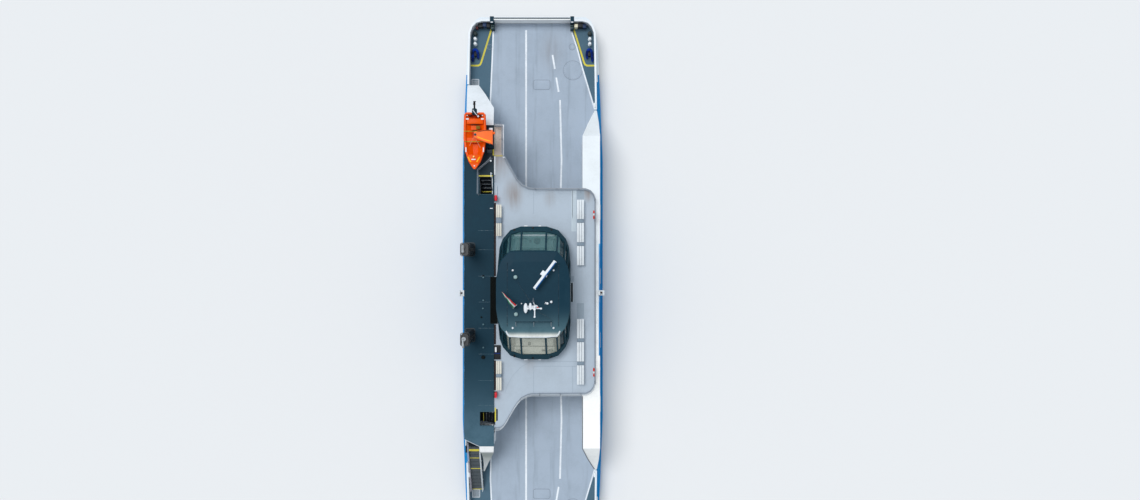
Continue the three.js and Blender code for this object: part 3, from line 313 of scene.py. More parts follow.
hull_paint, belt_paint = make_hull_paint("hull paint"), make_hull_paint("belt paint")
print("hull paint changes at", BLUE_TO * MODEL, "m from midships")

# %% [markdown]
# ## Deck paint
# The car deck is a lavender grey non-slip paint. Tyres polish it in lanes and leave faint dark tracks, dust
# collects between them, and the plates below show as weak patches. The upper deck is paler, with brown
# stains where water runs off. The grain is a fine bump, as sand thrown into the paint makes it.


# %% Deck paints
def make_deck_paint(name, colour, dirt, stain, lanes, spots, rim=None):
    """Spots are brown stains: their middle's x and y, their size and their strength."""
    finish = Finish(name)
    x, y, z = finish.xyz()
    tracks = 0.0
    for lane in lanes:
        off = finish.math("ABSOLUTE", finish.math("SUBTRACT", x, lane * MODEL))
        tracks = finish.math("MAXIMUM", tracks, finish.zone(off, 0.34, 0.08))
    place = finish.place()
    stretched = finish.add("ShaderNodeMapping", {"Vector": place, "Scale": (5.0, 0.45, 1.0)})
    drawn = finish.noise(stretched, 1.6, 7.0)
    rubbed = finish.math("MULTIPLY", tracks, finish.ramp(drawn, 0.4, 0.7))
    base = finish.mix(finish.math("MULTIPLY", rubbed, 0.35), colour, dirt)
    for middle_x, middle_y, size, strength in spots:
        shifted = finish.vector("SUBTRACT", place, (middle_x * MODEL, middle_y * MODEL, 0))
        reach = finish.vector("LENGTH", finish.vector("MULTIPLY", shifted, (1, 0.6, 0)), out="Value")
        mottled = finish.math("MULTIPLY", drawn, strength)
        spot = finish.math("MULTIPLY", finish.zone(reach, size, 0.0), mottled, clamp=True)
        base = finish.mix(spot, base, stain)
    if rim:
        outside = finish.zone(finish.math("ABSOLUTE", x), rim, rim + 0.008)
        at_end = finish.zone(finish.math("ABSOLUTE", y), BLUE_TO, BLUE_TO + 0.02)
        base = finish.mix(outside, base, finish.mix(at_end, BLUE, WHITE))
    return finish.weather(base, dirt, SOOT, 0.75, 0.3, amount=0.25, wear=0.2, patch=1.1, bump=0.35,
        streaks=0.0)


car_deck_paint = make_deck_paint("car deck paint", (168, 181, 196), (128, 140, 152), (120, 110, 104),
    [-2.9, -1.3, 0.2, 1.7, 3.1, 4.6], [(1.6, 20.6, 1.6, 0.5)], rim=5.5)
upper_deck_paint = make_deck_paint("upper deck paint", (180, 192, 204), (148, 156, 162), (128, 104, 84), [],
    [(-1.3, 8.0, 1.1, 1.1), (4.6, 8.9, 0.9, 1.0), (4.7, 7.9, 0.6, 0.9), (-2.5, 10.6, 1.3, 0.9),
    (1.6, 7.6, 0.7, 0.5), (0.0, -5.6, 0.8, 0.5)])
print("deck paints ready")

# %% [markdown]
# ## Glass, plastic, rubber and bronze
# Window glass is green-tinted, smooth and mostly see-through, which its Alpha says. The boat is orange
# laminate: glossy under a clear coat, with a faint orange-peel bump. The propellers are bronze, dulled.


# %% Other finishes
def make_glass(name, lighter_from=None):
    """Tinted glass. From lighter_from aft it is painted paler and a little less clear, painted light for the
    lit room behind it. Side panes are darker and less clear.
    """
    finish = Finish(name)
    colour, alpha = (88, 128, 130), 0.28
    if lighter_from is not None:
        x, y, z = finish.xyz()
        # Painted light: the stern panes are painted paler for the lit room seen through them.
        lighter_aft = finish.zone(y, lighter_from, lighter_from - 0.6)
        aside = finish.math("ABSOLUTE", finish.math("SUBTRACT", x, WHEELHOUSE_X * MODEL))
        corner = finish.zone(aside, 1.95, 2.1)
        colour = finish.mix(corner, finish.mix(lighter_aft, (110, 156, 160), (210, 214, 200)), (16, 48, 58))
        alpha = finish.math("MULTIPLY_ADD", lighter_aft, 0.06, finish.math("MULTIPLY_ADD", corner, 0.45, 0.24))
    smears = finish.add("ShaderNodeGroup", {"Amount": 0.5}, "Patches", node_tree=GRIME)
    rough = finish.math("MULTIPLY_ADD", smears, 0.12, 0.03)
    return finish.set({"Base Color": tone(colour), "Alpha": alpha, "IOR": 1.45, "Roughness": rough})


def make_laminate(name, colour, dark, roughness=0.32):
    finish = Finish(name)
    finish.set({"Coat Weight": 0.04, "Coat Roughness": 0.15})
    return finish.weather(colour, dark, (255, 150, 70), roughness, 0.06, amount=0.35, wear=0.25, patch=1.8,
        bump=0.1, streaks=0.2)


def make_metal(name, colour, dark, roughness):
    finish = Finish(name)
    finish.set({"Metallic": 1.0})
    return finish.weather(colour, dark, (220, 214, 200), roughness, amount=0.6, patch=4.0, bump=0.1,
        streaks=0.0)


tinted_glass = make_glass("tinted glass")
wheelhouse_glass = make_glass("wheelhouse glass", lighter_from=-2.2)
boat_orange = make_laminate("boat orange", (242, 90, 0), (206, 66, 0))
antenna_white = make_laminate("antenna white", (236, 240, 244), (190, 194, 196))
seat_black = make_laminate("seat black", (34, 36, 38), (56, 58, 60), 0.6)
motor_black = make_laminate("motor black", (26, 28, 30), (52, 54, 56))
lifebuoy_red = make_laminate("lifebuoy orange-red", (226, 54, 30), (160, 50, 36), 0.5)
dark_steel = make_metal("dark steel", (66, 72, 78), (44, 46, 50), 0.5)
bronze = make_metal("propeller bronze", (188, 148, 84), (92, 96, 70), 0.4)
print("materials:", len(bpy.data.materials))

# %% [markdown]
# ## Dressing the CAD nodes
# A node whose shape is right keeps its mesh and only gets its finish. The walls, the roofs, the stern
# fairing, the helms and the stairs in the wells follow further down, where their paints are made.


# %% Finishes of the nodes
def dress(finish, *names):
    for name in names:
        nodes[name].data.materials.clear()
        nodes[name].data.materials.append(finish)


corner_names = [corner for end, side, corner in CORNERS]
dress(hull_paint, "hull")
dress(belt_paint, "belt_port", "belt_starboard")
dress(car_deck_paint, "car_deck")
dress(upper_deck_paint, "upper_deck")
dress(platform_beige, "boarding_platform")
dress(ship_white, "fairing_bow", *["bulwark_" + corner for corner in corner_names])
dress(mooring_white, *["mooring_" + corner for corner in corner_names])
dress(slate, "ramp_frame_bow", "ramp_frame_stern", "boat_cradle", "davit_base")
dress(ramp_white, "ramp_bow", "ramp_stern")
dress(door_slate, "lounge_door", "casing_door", "wheelhouse_door")
dress(tinted_glass, "lounge_glass")
dress(wheelhouse_glass, "wheelhouse_glass")
dress(rail_white, "rail_starboard", "rail_bow", "rail_stern")
dress(rail_steel, "rail_bow_well")
dress(antenna_white, "radar_pedestal", "radar_scanner", "signal_mast")
dress(funnel_black, "funnel_bow", "funnel_stern")
dress(bench_cream, "benches_port_bow", "benches_port_stern")
dress(bench_white, "benches_starboard_bow", "benches_starboard_stern")
dress(boat_orange, "rescue_boat")
dress(motor_black, "outboard_motor")
dress(davit_orange, "davit_arm")
dress(stair_dark, "outside_stair")
dress(bottom_red, "thruster_bow", "thruster_stern")
dress(bronze, "propeller_bow", "propeller_stern")
print("materials so far:", len(bpy.data.materials))

# %% [markdown]
# ## Building meshes
# Each piece starts as an empty bmesh. Small functions add a block, a plate, a turned form or a bent tube to
# it, in the real ship's metres. The last ones scale the whole to the model, make the object and let it ride
# on its body. Its object stays at the origin: the place is in the mesh.


# %% Ranges and outlines
def around(middle, half):
    return middle - half, middle + half


def above(level, low, high):
    return level + low, level + high


def turns(count):
    return [2 * math.pi * i / count for i in range(count)]


def circle(x, y, radius, sides):
    return [(x + radius * math.cos(a), y + radius * math.sin(a)) for a in turns(sides)]


def rounded(x, y, radius, steps=5):
    """A rectangle with round corners, anticlockwise."""
    (left, right), (low, high) = sorted(x), sorted(y)
    corners = [(right - radius, low + radius, -90), (right - radius, high - radius, 0),
        (left + radius, high - radius, 90), (left + radius, low + radius, 180)]
    outline = []
    for middle_x, middle_y, start in corners:
        for i in range(steps + 1):
            angle = math.radians(start + 90 * i / steps)
            outline.append((middle_x + radius * math.cos(angle), middle_y + radius * math.sin(angle)))
    return outline


def offset_path(points, distance, closed=False):
    """Plan points moved sideways, with mitred corners."""
    moved = []
    count = len(points)
    for i, point in enumerate(points):
        legs = []
        for a, b in ((i - 1, i), (i, i + 1)):
            if closed or (a >= 0 and b < count):
                leg = Vector(points[b % count]) - Vector(points[a % count])
                legs.append(Vector((leg.y, -leg.x)).normalized())
        middle = (legs[0] + legs[-1]) / (1 + legs[0].dot(legs[-1]))
        moved.append(tuple(Vector(point) + distance * middle))
    return moved


def band(path, width):
    """The outline of a band along a line of plan points."""
    return offset_path(path, width / 2) + offset_path(path, -width / 2)[::-1]


print("outline helpers ready")


# %% Solid forms
TURN = {"Z": Matrix(), "X": Matrix.Rotation(math.pi / 2, 4, "Y"), "Y": Matrix.Rotation(-math.pi / 2, 4, "X")}


def add_corners(shape, rings):
    return [[shape.verts.new(point) for point in ring] for ring in rings]


def join_rings(shape, rings, closed=False):
    """Faces from each ring of corners to the next. A row that isn't closed gets a face at each end."""
    faces = []
    for low, high in zip(rings, rings[1:] + (rings[:1] if closed else [])):
        for i in range(max(len(low), len(high))):
            a, b = (i % len(low), (i + 1) % len(low)), (i % len(high), (i + 1) % len(high))
            corners = dict.fromkeys((low[a[0]], low[a[1]], high[b[1]], high[b[0]]))
            faces.append(shape.faces.new(list(corners)))
    for ring in (() if closed else (rings[0][::-1], rings[-1])):
        if len(ring) > 2:
            shape.faces.new(ring)
    return faces


def add_block(shape, x, y, z):
    corners = [shape.verts.new((a, b, c)) for c in sorted(z) for b in sorted(y) for a in sorted(x)]
    for face in ((0, 2, 3, 1), (4, 5, 7, 6), (0, 1, 5, 4), (2, 6, 7, 3), (0, 4, 6, 2), (1, 3, 7, 5)):
        shape.faces.new([corners[i] for i in face])
    return corners


def add_plate(shape, outline, low, high):
    rings = add_corners(shape, [[(x, y, z) for x, y in outline] for z in (low, high)])
    join_rings(shape, rings)
    return sum(rings, [])


def add_stripe(shape, path, width, low, high):
    return add_plate(shape, band(path, width), low, high)


def add_loop(shape, outline, width, low, high):
    """A flat band round a closed plan outline."""
    inner, outer = offset_path(outline, -width / 2, True), offset_path(outline, width / 2, True)
    sides = ((inner, low), (outer, low), (outer, high), (inner, high))
    rings = add_corners(shape, [[(x, y, z) for x, y in ring] for ring, z in sides])
    join_rings(shape, rings, True)
    return sum(rings, [])


def add_lathe(shape, profile, at=(0, 0, 0), sides=24, axis="Z"):
    """A turned form. The profile's columns are radius and height. An end off the axis is closed flat."""
    ends = [[(0, height)] if radius else [] for radius, height in (profile[0], profile[-1])]
    place = Matrix.Translation(at) @ TURN[axis]
    rings = []
    for radius, height in ends[0] + list(profile) + ends[1]:
        ring = [(radius * math.cos(a), radius * math.sin(a), height) for a in turns(sides if radius else 1)]
        rings.append([place @ Vector(point) for point in ring])
    rings = add_corners(shape, rings)
    join_rings(shape, rings)
    return sum(rings, [])


def add_tube(shape, path, radius, sides=8):
    """A round bar bent along a list of points, with mitred corners and closed ends."""
    points = [Vector(point) for point in path]
    legs = [(b - a).normalized() for a, b in zip(points, points[1:])]
    rings = []
    for i, point in enumerate(points):
        heading = (legs[max(i - 1, 0)] + legs[min(i, len(legs) - 1)]).normalized()
        side = side if i else heading.orthogonal().normalized()
        side = (side - heading * side.dot(heading)).normalized()
        up = heading.cross(side)
        rings.append([point + radius * (math.cos(a) * side + math.sin(a) * up) for a in turns(sides)])
    join_rings(shape, add_corners(shape, rings))


def move(verts, matrix):
    for vert in verts:
        vert.co = matrix @ vert.co


def add_moved(shape, matrix, add, *sizes):
    move(add(shape, *sizes), matrix)


def gather(*parts):
    """A new bmesh of parts. Each part is the function that adds it, followed by its sizes."""
    shape = bmesh.new()
    for add, *sizes in parts:
        add(shape, *sizes)
    return shape


def split_faces(shape):
    """Cuts faces of more than four corners into triangles, so that hollow outlines fill rightly."""
    bmesh.ops.triangulate(shape, faces=[face for face in shape.faces if len(face.verts) > 4])
    return shape


print("solid forms ready")


# %% From a shape to a piece
def mesh_of(name, shape, bevel=0.0):
    """A bmesh in real metres as a model-size mesh, with its edges rounded off."""
    bmesh.ops.scale(shape, vec=(MODEL, MODEL, MODEL), verts=shape.verts)
    bmesh.ops.recalc_face_normals(shape, faces=shape.faces)
    if bevel:
        edges = [e for e in shape.edges if len(e.link_faces) == 2 and e.calc_face_angle() > 0.6]
        bmesh.ops.bevel(shape, geom=edges, offset=bevel * MODEL, segments=2, affect="EDGES", profile=0.6)
    mesh = bpy.data.meshes.new(name)
    shape.to_mesh(mesh)
    shape.free()
    return mesh


def apply_modifiers(piece):
    bpy.context.view_layer.update()
    made = bpy.data.meshes.new_from_object(piece.evaluated_get(bpy.context.evaluated_depsgraph_get()))
    old = piece.data
    piece.modifiers.clear()
    piece.data = made
    bpy.data.meshes.remove(old)


def dress_mesh(name, mesh, finish, body="ship", bevel=0.0, smooth=40, stands_for=()):
    piece = bpy.data.objects.new(name, mesh)
    bpy.context.collection.objects.link(piece)
    for one in finish if isinstance(finish, list) else [finish]:
        if mesh.materials.find(one.name) < 0:
            mesh.materials.append(one)
    if bevel:
        rounding = piece.modifiers.new("rounding", "BEVEL")
        rounding.width = bevel * MODEL
        rounding.segments = 2
        rounding.limit_method = "ANGLE"
        apply_modifiers(piece)
    if smooth:
        piece.data.shade_smooth()
        piece.data.set_sharp_from_angle(angle=math.radians(smooth))
    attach(piece, body)
    if stands_for:
        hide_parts(*stands_for)
    return piece


def make_piece(name, shape, finish, **rest):
    """Turns a bmesh in real metres into a finished piece of the model."""
    return dress_mesh(name, mesh_of(name, shape), finish, **rest)


def make(name, finish, *parts, **rest):
    return make_piece(name, gather(*parts), finish, **rest)


def make_blocks(name, finish, blocks, bevel=0.008, **rest):
    """One piece of rounded blocks. Each block is its x, y and z ranges."""
    return make(name, finish, *[(add_block, *block) for block in blocks], bevel=bevel, **rest)


def make_tubes(name, finish, radius, paths, sides=8, **rest):
    return make(name, finish, *[(add_tube, path, radius, sides) for path in paths], **rest)


def make_turned(name, finish, profile, places, sides=20, axis="Z", **rest):
    return make(name, finish, *[(add_lathe, profile, place, sides, axis) for place in places], **rest)


print("makers ready")

# %% [markdown]
# ## Geometry Nodes: two trees for every railing
# A railing is some bars along a path with a post at every step. One tree copies the path once for each bar,
# lifts the copies and gives them a round section. The other stands a post with a foot plate on evenly
# spaced points. Realize Instances turns the copies into real faces, and Set Material gives them their
# finish.


# %% Running a tree
def new_tree(name, sizes):
    """A Geometry Nodes tree with named number inputs. Returns it, its inputs and its last socket."""
    tree = bpy.data.node_groups.new(name, "GeometryNodeTree")
    tree.interface.new_socket("Geometry", in_out="INPUT", socket_type="NodeSocketGeometry")
    for label, start in sizes.items():
        kind = "NodeSocketInt" if isinstance(start, int) else "NodeSocketFloat"
        tree.interface.new_socket(label, in_out="INPUT", socket_type=kind).default_value = start
    tree.interface.new_socket("Finish", in_out="INPUT", socket_type="NodeSocketMaterial")
    tree.interface.new_socket("Geometry", in_out="OUTPUT", socket_type="NodeSocketGeometry")
    return Tree(tree), tree.nodes.new("NodeGroupInput").outputs, tree.nodes.new("NodeGroupOutput").inputs[0]


def finish_tree(group, given, result, geometry):
    """Ends a tree: its copies become real faces with the piece's finish."""
    real = group.add("GeometryNodeRealizeInstances", {0: geometry})
    group.feed(result, group.add("GeometryNodeSetMaterial", {"Geometry": real, "Material": given["Finish"]}))
    return group.tree


def copy_on(group, given, result, points, part):
    copies = group.add("GeometryNodeInstanceOnPoints", {"Points": points, "Instance": part})
    return finish_tree(group, given, result, copies)


def run_tree(name, source, tree, sizes, finish, **rest):
    """Runs a tree on a source mesh or curve and keeps the result as a plain mesh piece."""
    holder = bpy.data.objects.new(name + "_path", source)
    bpy.context.collection.objects.link(holder)
    modifier = holder.modifiers.new("nodes", "NODES")
    modifier.node_group = tree
    values = {**sizes, "Finish": finish}
    for item in tree.interface.items_tree:
        if item.in_out == "INPUT" and item.name in values:
            modifier[item.identifier] = values[item.name]
    bpy.context.view_layer.update()
    evaluated = holder.evaluated_get(bpy.context.evaluated_depsgraph_get())
    mesh = bpy.data.meshes.new_from_object(evaluated)
    bpy.data.objects.remove(holder)
    return dress_mesh(name, mesh, finish, **rest)


def path_curve(name, path):
    """A curve of straight legs through points in real metres."""
    curve = bpy.data.curves.new(name, "CURVE")
    curve.dimensions = "3D"
    spline = curve.splines.new("POLY")
    spline.points.add(len(path) - 1)
    for knot, point in zip(spline.points, path):
        knot.co = (*[value * MODEL for value in point], 1)
    return curve


print("tree helpers ready")


# %% Railing trees
def make_bars_tree():
    group, given, result = new_tree("railing bars", {"Height": 0.54, "Bars": 3, "Bar Radius": 0.008})
    copies = group.add("GeometryNodeDuplicateElements", {"Geometry": given["Geometry"],
        "Amount": given["Bars"]}, None, domain="SPLINE")
    order = group.math("ADD", copies[1], 1.0)
    rise = group.math("DIVIDE", group.math("MULTIPLY", order, given["Height"]), given["Bars"])
    lift = group.add("ShaderNodeCombineXYZ", {"Z": rise})
    raised = group.add("GeometryNodeSetPosition", {"Geometry": copies[0], "Offset": lift})
    section = group.add("GeometryNodeCurvePrimitiveCircle", {"Resolution": 8, "Radius": given["Bar Radius"]})
    bars = group.add("GeometryNodeCurveToMesh", {"Curve": raised, "Profile Curve": section,
        "Fill Caps": True})
    return finish_tree(group, given, result, bars)


def make_posts_tree():
    sizes = {"Post Spacing": 0.78, "Height": 0.54, "Post Radius": 0.011, "Foot Radius": 0.03}
    group, given, result = new_tree("railing posts", sizes)
    path = {"Curve": given["Geometry"], "Length": given["Post Spacing"]}
    steps = group.add("GeometryNodeResampleCurve", path, mode="LENGTH")
    sizes = {"Vertices": 8, "Radius": given["Post Radius"], "Depth": given["Height"]}
    post = group.add("GeometryNodeMeshCylinder", sizes)
    half = group.add("ShaderNodeCombineXYZ", {"Z": group.math("DIVIDE", given["Height"], 2.0)})
    stood = group.add("GeometryNodeTransform", {"Geometry": post, "Translation": half})
    sizes = {"Vertices": 10, "Radius": given["Foot Radius"], "Depth": 0.006}
    foot = group.add("GeometryNodeMeshCylinder", sizes)
    on_deck = group.add("GeometryNodeTransform", {"Geometry": foot, "Translation": (0, 0, 0.004)})
    both = group.add("GeometryNodeJoinGeometry", {0: stood})
    group.feed(both.node.inputs[0], on_deck)
    return copy_on(group, given, result, steps, both)


BARS, POSTS = make_bars_tree(), make_posts_tree()
print("trees:", BARS.name, POSTS.name)

# %% [markdown]
# ## Railings of the upper deck
# The railings follow the edge of the deck, bend round its corners and run past the wells. Grey galvanised
# bars are what the real ones show from above: thin lines with a darker dot for every post.

# %% Railings
post_grey = painted("post grey", (74, 84, 96), (96, 104, 112), (150, 150, 148), gloss=0.3)
rail_pale = painted("rail pale", (196, 203, 208), (150, 154, 156), RUST, gloss=0.3)
STARBOARD_RAIL = [(5.25, -7.16), (5.25, 7.36)]
BOW_RAIL = [(5.25, 7.45), (5.13, 7.82), (4.87, 8.12), (4.5, 8.27), (0.3, 8.3), (-0.13, 8.36), (-0.65, 8.6),
    (-1.08, 9.08), (-1.42, 9.68), (-1.89, 10.54), (-2.06, 10.86), (-2.19, 11.1), (-2.19, 13.39),
    (-2.8, 13.39)]
STERN_RAIL = [(5.25, -7.25), (5.13, -7.65), (4.87, -7.98), (4.5, -8.15), (0.2, -8.18), (-0.16, -8.25),
    (-0.66, -8.5), (-1.0, -8.9), (-1.27, -9.3), (-1.55, -9.8), (-1.84, -10.3), (-2.06, -10.66),
    (-2.34, -10.88), (-2.8, -10.94)]
WELL_RAIL = [(-3.05, 10.75), (-3.3, 10.45), (-4.1, 9.75), (-4.12, 7.86)]
RAIL_HEIGHT = 1.08
# name, path, level of its foot, bars, finish
RAILS = [("rail_starboard", STARBOARD_RAIL, UPPER_DECK, 3, rail_steel), ("rail_bow", BOW_RAIL, UPPER_DECK,
    3, rail_steel), ("rail_stern", STERN_RAIL, UPPER_DECK, 3, rail_pale), ("rail_bow_well", WELL_RAIL,
    ROOF_TOP, 2, rail_steel)]
for name, path, level, bars, finish in RAILS:
    curve = path_curve(name, [(x, y, level + 0.004) for x, y in path])
    height = {"Height": RAIL_HEIGHT * MODEL}
    run_tree(name + "_bars", curve, BARS, {**height, "Bars": bars}, finish, stands_for=[name])
    posts = run_tree(name + "_posts", curve.copy(), POSTS, height, post_grey)
    print(name, len(posts.data.polygons), "faces in the posts")

# %% [markdown]
# ## Rows and rings of equal parts
# Slats, stair nosings, window frames, bolts and seats all repeat at one step. One tree copies the piece
# that it is given along a straight line, and another copies it round a circle. Count and step are their
# inputs.


# %% Row and ring trees
def join_axes(group, given, word):
    return group.add("ShaderNodeCombineXYZ", {axis: given[f"{word} {axis}"] for axis in "XYZ"})


def make_row_tree():
    sizes = {"Count": 3, "Step X": 0.0, "Step Y": 0.0, "Step Z": 0.0}
    group, given, result = new_tree("row of copies", sizes)
    step = join_axes(group, given, "Step")
    line = group.add("GeometryNodeMeshLine", {"Count": given["Count"], "Offset": step})
    return copy_on(group, given, result, line, given["Geometry"])


def make_ring_tree():
    sizes = {"Count": 8, "Radius": 0.2, "Centre X": 0.0, "Centre Y": 0.0, "Centre Z": 0.0}
    group, given, result = new_tree("ring of copies", sizes)
    round_line = group.add("GeometryNodeMeshCircle", {"Vertices": given["Count"], "Radius": given["Radius"]})
    middle = join_axes(group, given, "Centre")
    moved = group.add("GeometryNodeTransform", {"Geometry": round_line, "Translation": middle})
    return copy_on(group, given, result, moved, given["Geometry"])


ROW, RING = make_row_tree(), make_ring_tree()


def axis_sizes(word, place):
    return {f"{word} {axis}": value * MODEL for axis, value in zip("XYZ", place)}


def make_row(name, finish, count, step, *parts, bevel=0.0, **rest):
    sizes = {"Count": count, **axis_sizes("Step", step)}
    return run_tree(name, mesh_of(name, gather(*parts), bevel), ROW, sizes, finish, **rest)


def make_ring(name, finish, count, radius, centre, *parts, **rest):
    sizes = {"Count": count, "Radius": radius * MODEL, **axis_sizes("Centre", centre)}
    return run_tree(name, mesh_of(name, gather(*parts)), RING, sizes, finish, **rest)


print("trees:", ROW.name, RING.name)

# %% [markdown]
# ## Marks on the car deck
# White lines part the lanes, and yellow ones fence off the crew's walkways at the four corners, which are
# painted a darker blue-grey. They are thick road-marking paint: bands a few millimetres high, worn by
# tyres.

# %% Lane lines
MARK = above(CAR_DECK, 0.002, 0.01)
line_white = painted("line white", (236, 241, 246), (190, 198, 208), (168, 176, 190), 0.7, amount=0.5,
    patch=2.4)
# width, then the path from the bow towards the stern
LANE_LINES = [(0.12, [(-3.39, 22.3), (-3.48, 19.99), (-3.64, 16.4), (-3.54, 13.4)]),
    (0.12, [(-3.54, -12.3), (-3.64, -16.4), (-3.48, -19.99), (-3.39, -22.3)]),
    (0.16, [(-0.56, 22.4), (-0.56, -22.4)]), (0.15, [(2.37, 16.36), (2.5, 11.2), (2.42, 8.0), (2.42, -8.0),
    (2.5, -11.2), (2.37, -16.36)])]
# these are the same at both ends
END_LINES = [(0.15, [(1.72, 20.25), (1.92, 19.04)]), (0.15, [(2.04, 18.3), (2.25, 17.06)]),
    (0.12, [(3.39, 22.2), (3.84, 20.85), (4.23, 19.35), (5.36, 15.55)])]
for end in (1, -1):
    LANE_LINES += [(width, [(x, end * y) for x, y in path]) for width, path in END_LINES]
make("lane_lines", line_white, *[(add_stripe, path, width, *MARK) for width, path in LANE_LINES])
print("white lines:", len(LANE_LINES))

# %% Crew walkways
walkway_paint = painted("walkway paint", (76, 104, 121), (94, 118, 132), SALT, 0.8, 0.3)
YELLOW_LINE = [(3.55, 22.5), (4.44, 19.6), (4.53, 19.42), (4.7, 19.33), (5.38, 19.33)]
# plan outlines: the starboard bow corner, then the longer ones of the port side, up to the house
WALKWAY_STARBOARD = [(3.46, 22.2), (3.91, 20.87), (4.3, 19.37), (5.38, 15.75), (5.38, 21.0), (5.3, 21.88),
    (5.11, 22.4), (4.76, 22.76), (4.3, 22.89), (3.46, 22.89)]
WALKWAY_PORT = [(-3.46, 22.89), (-4.3, 22.89), (-4.76, 22.76), (-5.11, 22.4), (-5.3, 21.88), (-5.36, 21.0),
    (-5.36, 17.45), (-4.62, 17.45), (-4.12, 16.5), (-3.7, 15.15), (-3.7, 16.4), (-3.54, 19.99)]
WALKWAY_STERN = [(-3.46, -22.89), (-3.54, -19.99), (-3.7, -16.4), (-3.6, -12.42), (-3.63, -13.9),
    (-4.06, -15.42), (-4.06, -12.42), (-5.6, -12.42), (-5.43, -14.6), (-5.36, -21.0), (-5.3, -21.88),
    (-5.11, -22.4), (-4.76, -22.76), (-4.3, -22.89)]
stern_starboard = [(x, -y) for x, y in WALKWAY_STARBOARD[::-1]]
walkways = (WALKWAY_STARBOARD, stern_starboard, WALKWAY_PORT, WALKWAY_STERN)
make("walkway_lines", line_yellow, *[(add_stripe, [(side * x, end * y) for x, y in YELLOW_LINE], 0.15, *MARK)
    for end, side, corner in CORNERS])
floors = gather(*[(add_plate, outline, *above(CAR_DECK, 0.001, 0.006)) for outline in walkways])
make_piece("walkway_paint", split_faces(floors), walkway_paint, smooth=0)
print("walkways:", len(walkways))

# %% [markdown]
# ## Hatches in the car deck
# Flush round and oblong covers lead to the tanks. They are painted with the deck, so only a narrow seam and
# a ring of bolt heads show. Each cover is a low plate with a rounded edge that stands in a shallow dark
# ring.

# %% Deck hatches
seam_grey = painted("seam grey", (132, 142, 156), (104, 112, 122), SALT, 0.8, 0.2)
BOLT = [(0.018, 0), (0.018, 0.012), (0.012, 0.018)]
# name, middle x, distance from midships, radius, bolts
MANHOLES = [("tank_cover_{}", 3.47, 18.92, 0.84, 24), ("vent_cover_{}_port", -3.72, 20.95, 0.23, 10),
    ("vent_cover_{}_starboard", 3.42, 20.95, 0.28, 12)]
for end, end_name in ENDS:
    for title, x, along, radius, bolts in MANHOLES:
        name, y = title.format(end_name), end * along
        on_walkway = x < 0
        low = CAR_DECK + (0.005 if on_walkway else 0.001)
        cover = [(radius - 0.03, 0), (radius - 0.03, 0.012), (radius - 0.05, 0.016)]
        make_turned(name, walkway_paint if on_walkway else car_deck_paint, cover, [(x, y, low)], 40)
        make(name + "_seam", seam_grey, (add_loop, circle(x, y, radius - 0.01, 40), 0.03, low, low + 0.006))
        make_ring(name + "_bolts", seam_grey, bolts, radius - 0.11, (x, y, low + 0.015), (add_lathe, BOLT,
            (0, 0, 0), 6))
make("hold_covers", car_deck_paint, *[(add_plate, rounded((0.08, 1.49), (end * 17.27, end * 18.07), 0.18),
    *above(CAR_DECK, 0.001, 0.014)) for end in (1, -1)], bevel=0.004)
make("hold_cover_seams", seam_grey, *[(add_loop, rounded((0.06, 1.51), (end * 17.25, end * 18.09), 0.2),
    0.03, *above(CAR_DECK, 0.001, 0.007)) for end in (1, -1)])
print("round covers:", 2 * len(MANHOLES))

# %% Vent grilles
vent_white = painted("vent white", (196, 204, 211), (150, 156, 162), RUST, 0.6)
GRILLE_STEP = 0.06
parts = []
for x, y in (((-5.24, -4.64), (17.6, 18.13)), ((-5.2, -4.56), (-17.95, -17.28))):
    parts.append((add_loop, rounded(x, y, 0.05), 0.06, *above(CAR_DECK, 0.001, 0.05)))
    for i in range(1, int((y[1] - y[0]) / GRILLE_STEP)):
        parts.append((add_block, x, around(y[0] + GRILLE_STEP * i, 0.012), above(CAR_DECK, 0.02, 0.045)))
make("vent_grilles", vent_white, *parts)
print("parts of the vent grilles:", len(parts))

# %% [markdown]
# ## Ramps and their posts
# A slate bar protects the top edge of each ramp, and a sill plate lies at its foot in the deck's own paint.
# The bar rides on the ramp, so that it goes down with it. A winch with a drum and a motor stands at the
# foot of each post: turned forms on the block that the CAD gives.

# %% Ramp fittings
RAMP_TOP = CAR_DECK + 1.16
for end, name in ENDS:
    body = name + "_ramp"
    make_blocks("ramp_edge_" + name, slate, [((-3.238, 3.238), (end * 23.035, end * 23.142),
        above(RAMP_TOP, -0.05, 0.012))], body=body, bevel=0.01)
    make_blocks("ramp_sill_" + name, car_deck_paint, [((-3.255, 3.255), (end * 22.765, end * 22.905),
        above(CAR_DECK, 0.03, 0.066))])
    make_row("ramp_hinges_" + name, dark_steel, 5, (1.475, 0, 0),
        (add_lathe, [(0.035, -0.09), (0.035, 0.09)], (-2.95, end * 23.0, CAR_DECK + 0.08), 12, "X"),
        body=body)
    print("ramp", name)

# %% Ramp winches
winch_grey = painted("winch grey", (66, 88, 90), (50, 60, 62), RUST, gloss=0.3, amount=0.5)
WINCH_TOP = CAR_DECK + 0.552
DRUM = [(0.09, -0.12), (0.09, -0.1), (0.06, -0.09), (0.06, 0.09), (0.09, 0.1), (0.09, 0.12)]
WINCH_MOTOR = [(0.075, 0), (0.08, 0.02), (0.08, 0.14), (0.05, 0.17)]
for end, side, corner in CORNERS:
    x = side * 3.4
    make("winch_" + corner, winch_grey, (add_block, around(x, 0.15), (end * 22.33, end * 22.73),
        above(WINCH_TOP, -0.1, 0.02)), (add_lathe, DRUM, (x, end * 22.6, WINCH_TOP + 0.09), 20, "X"),
        (add_lathe, WINCH_MOTOR, (x, end * 22.4, WINCH_TOP + 0.02), 18), bevel=0.006)
    make_blocks("post_plate_" + corner, antenna_white,
        [(around(side * 3.42, 0.1), (end * 22.72, end * 22.8), above(BULWARK_TOP, 0.03, 0.07))])
print("winches:", len(CORNERS))

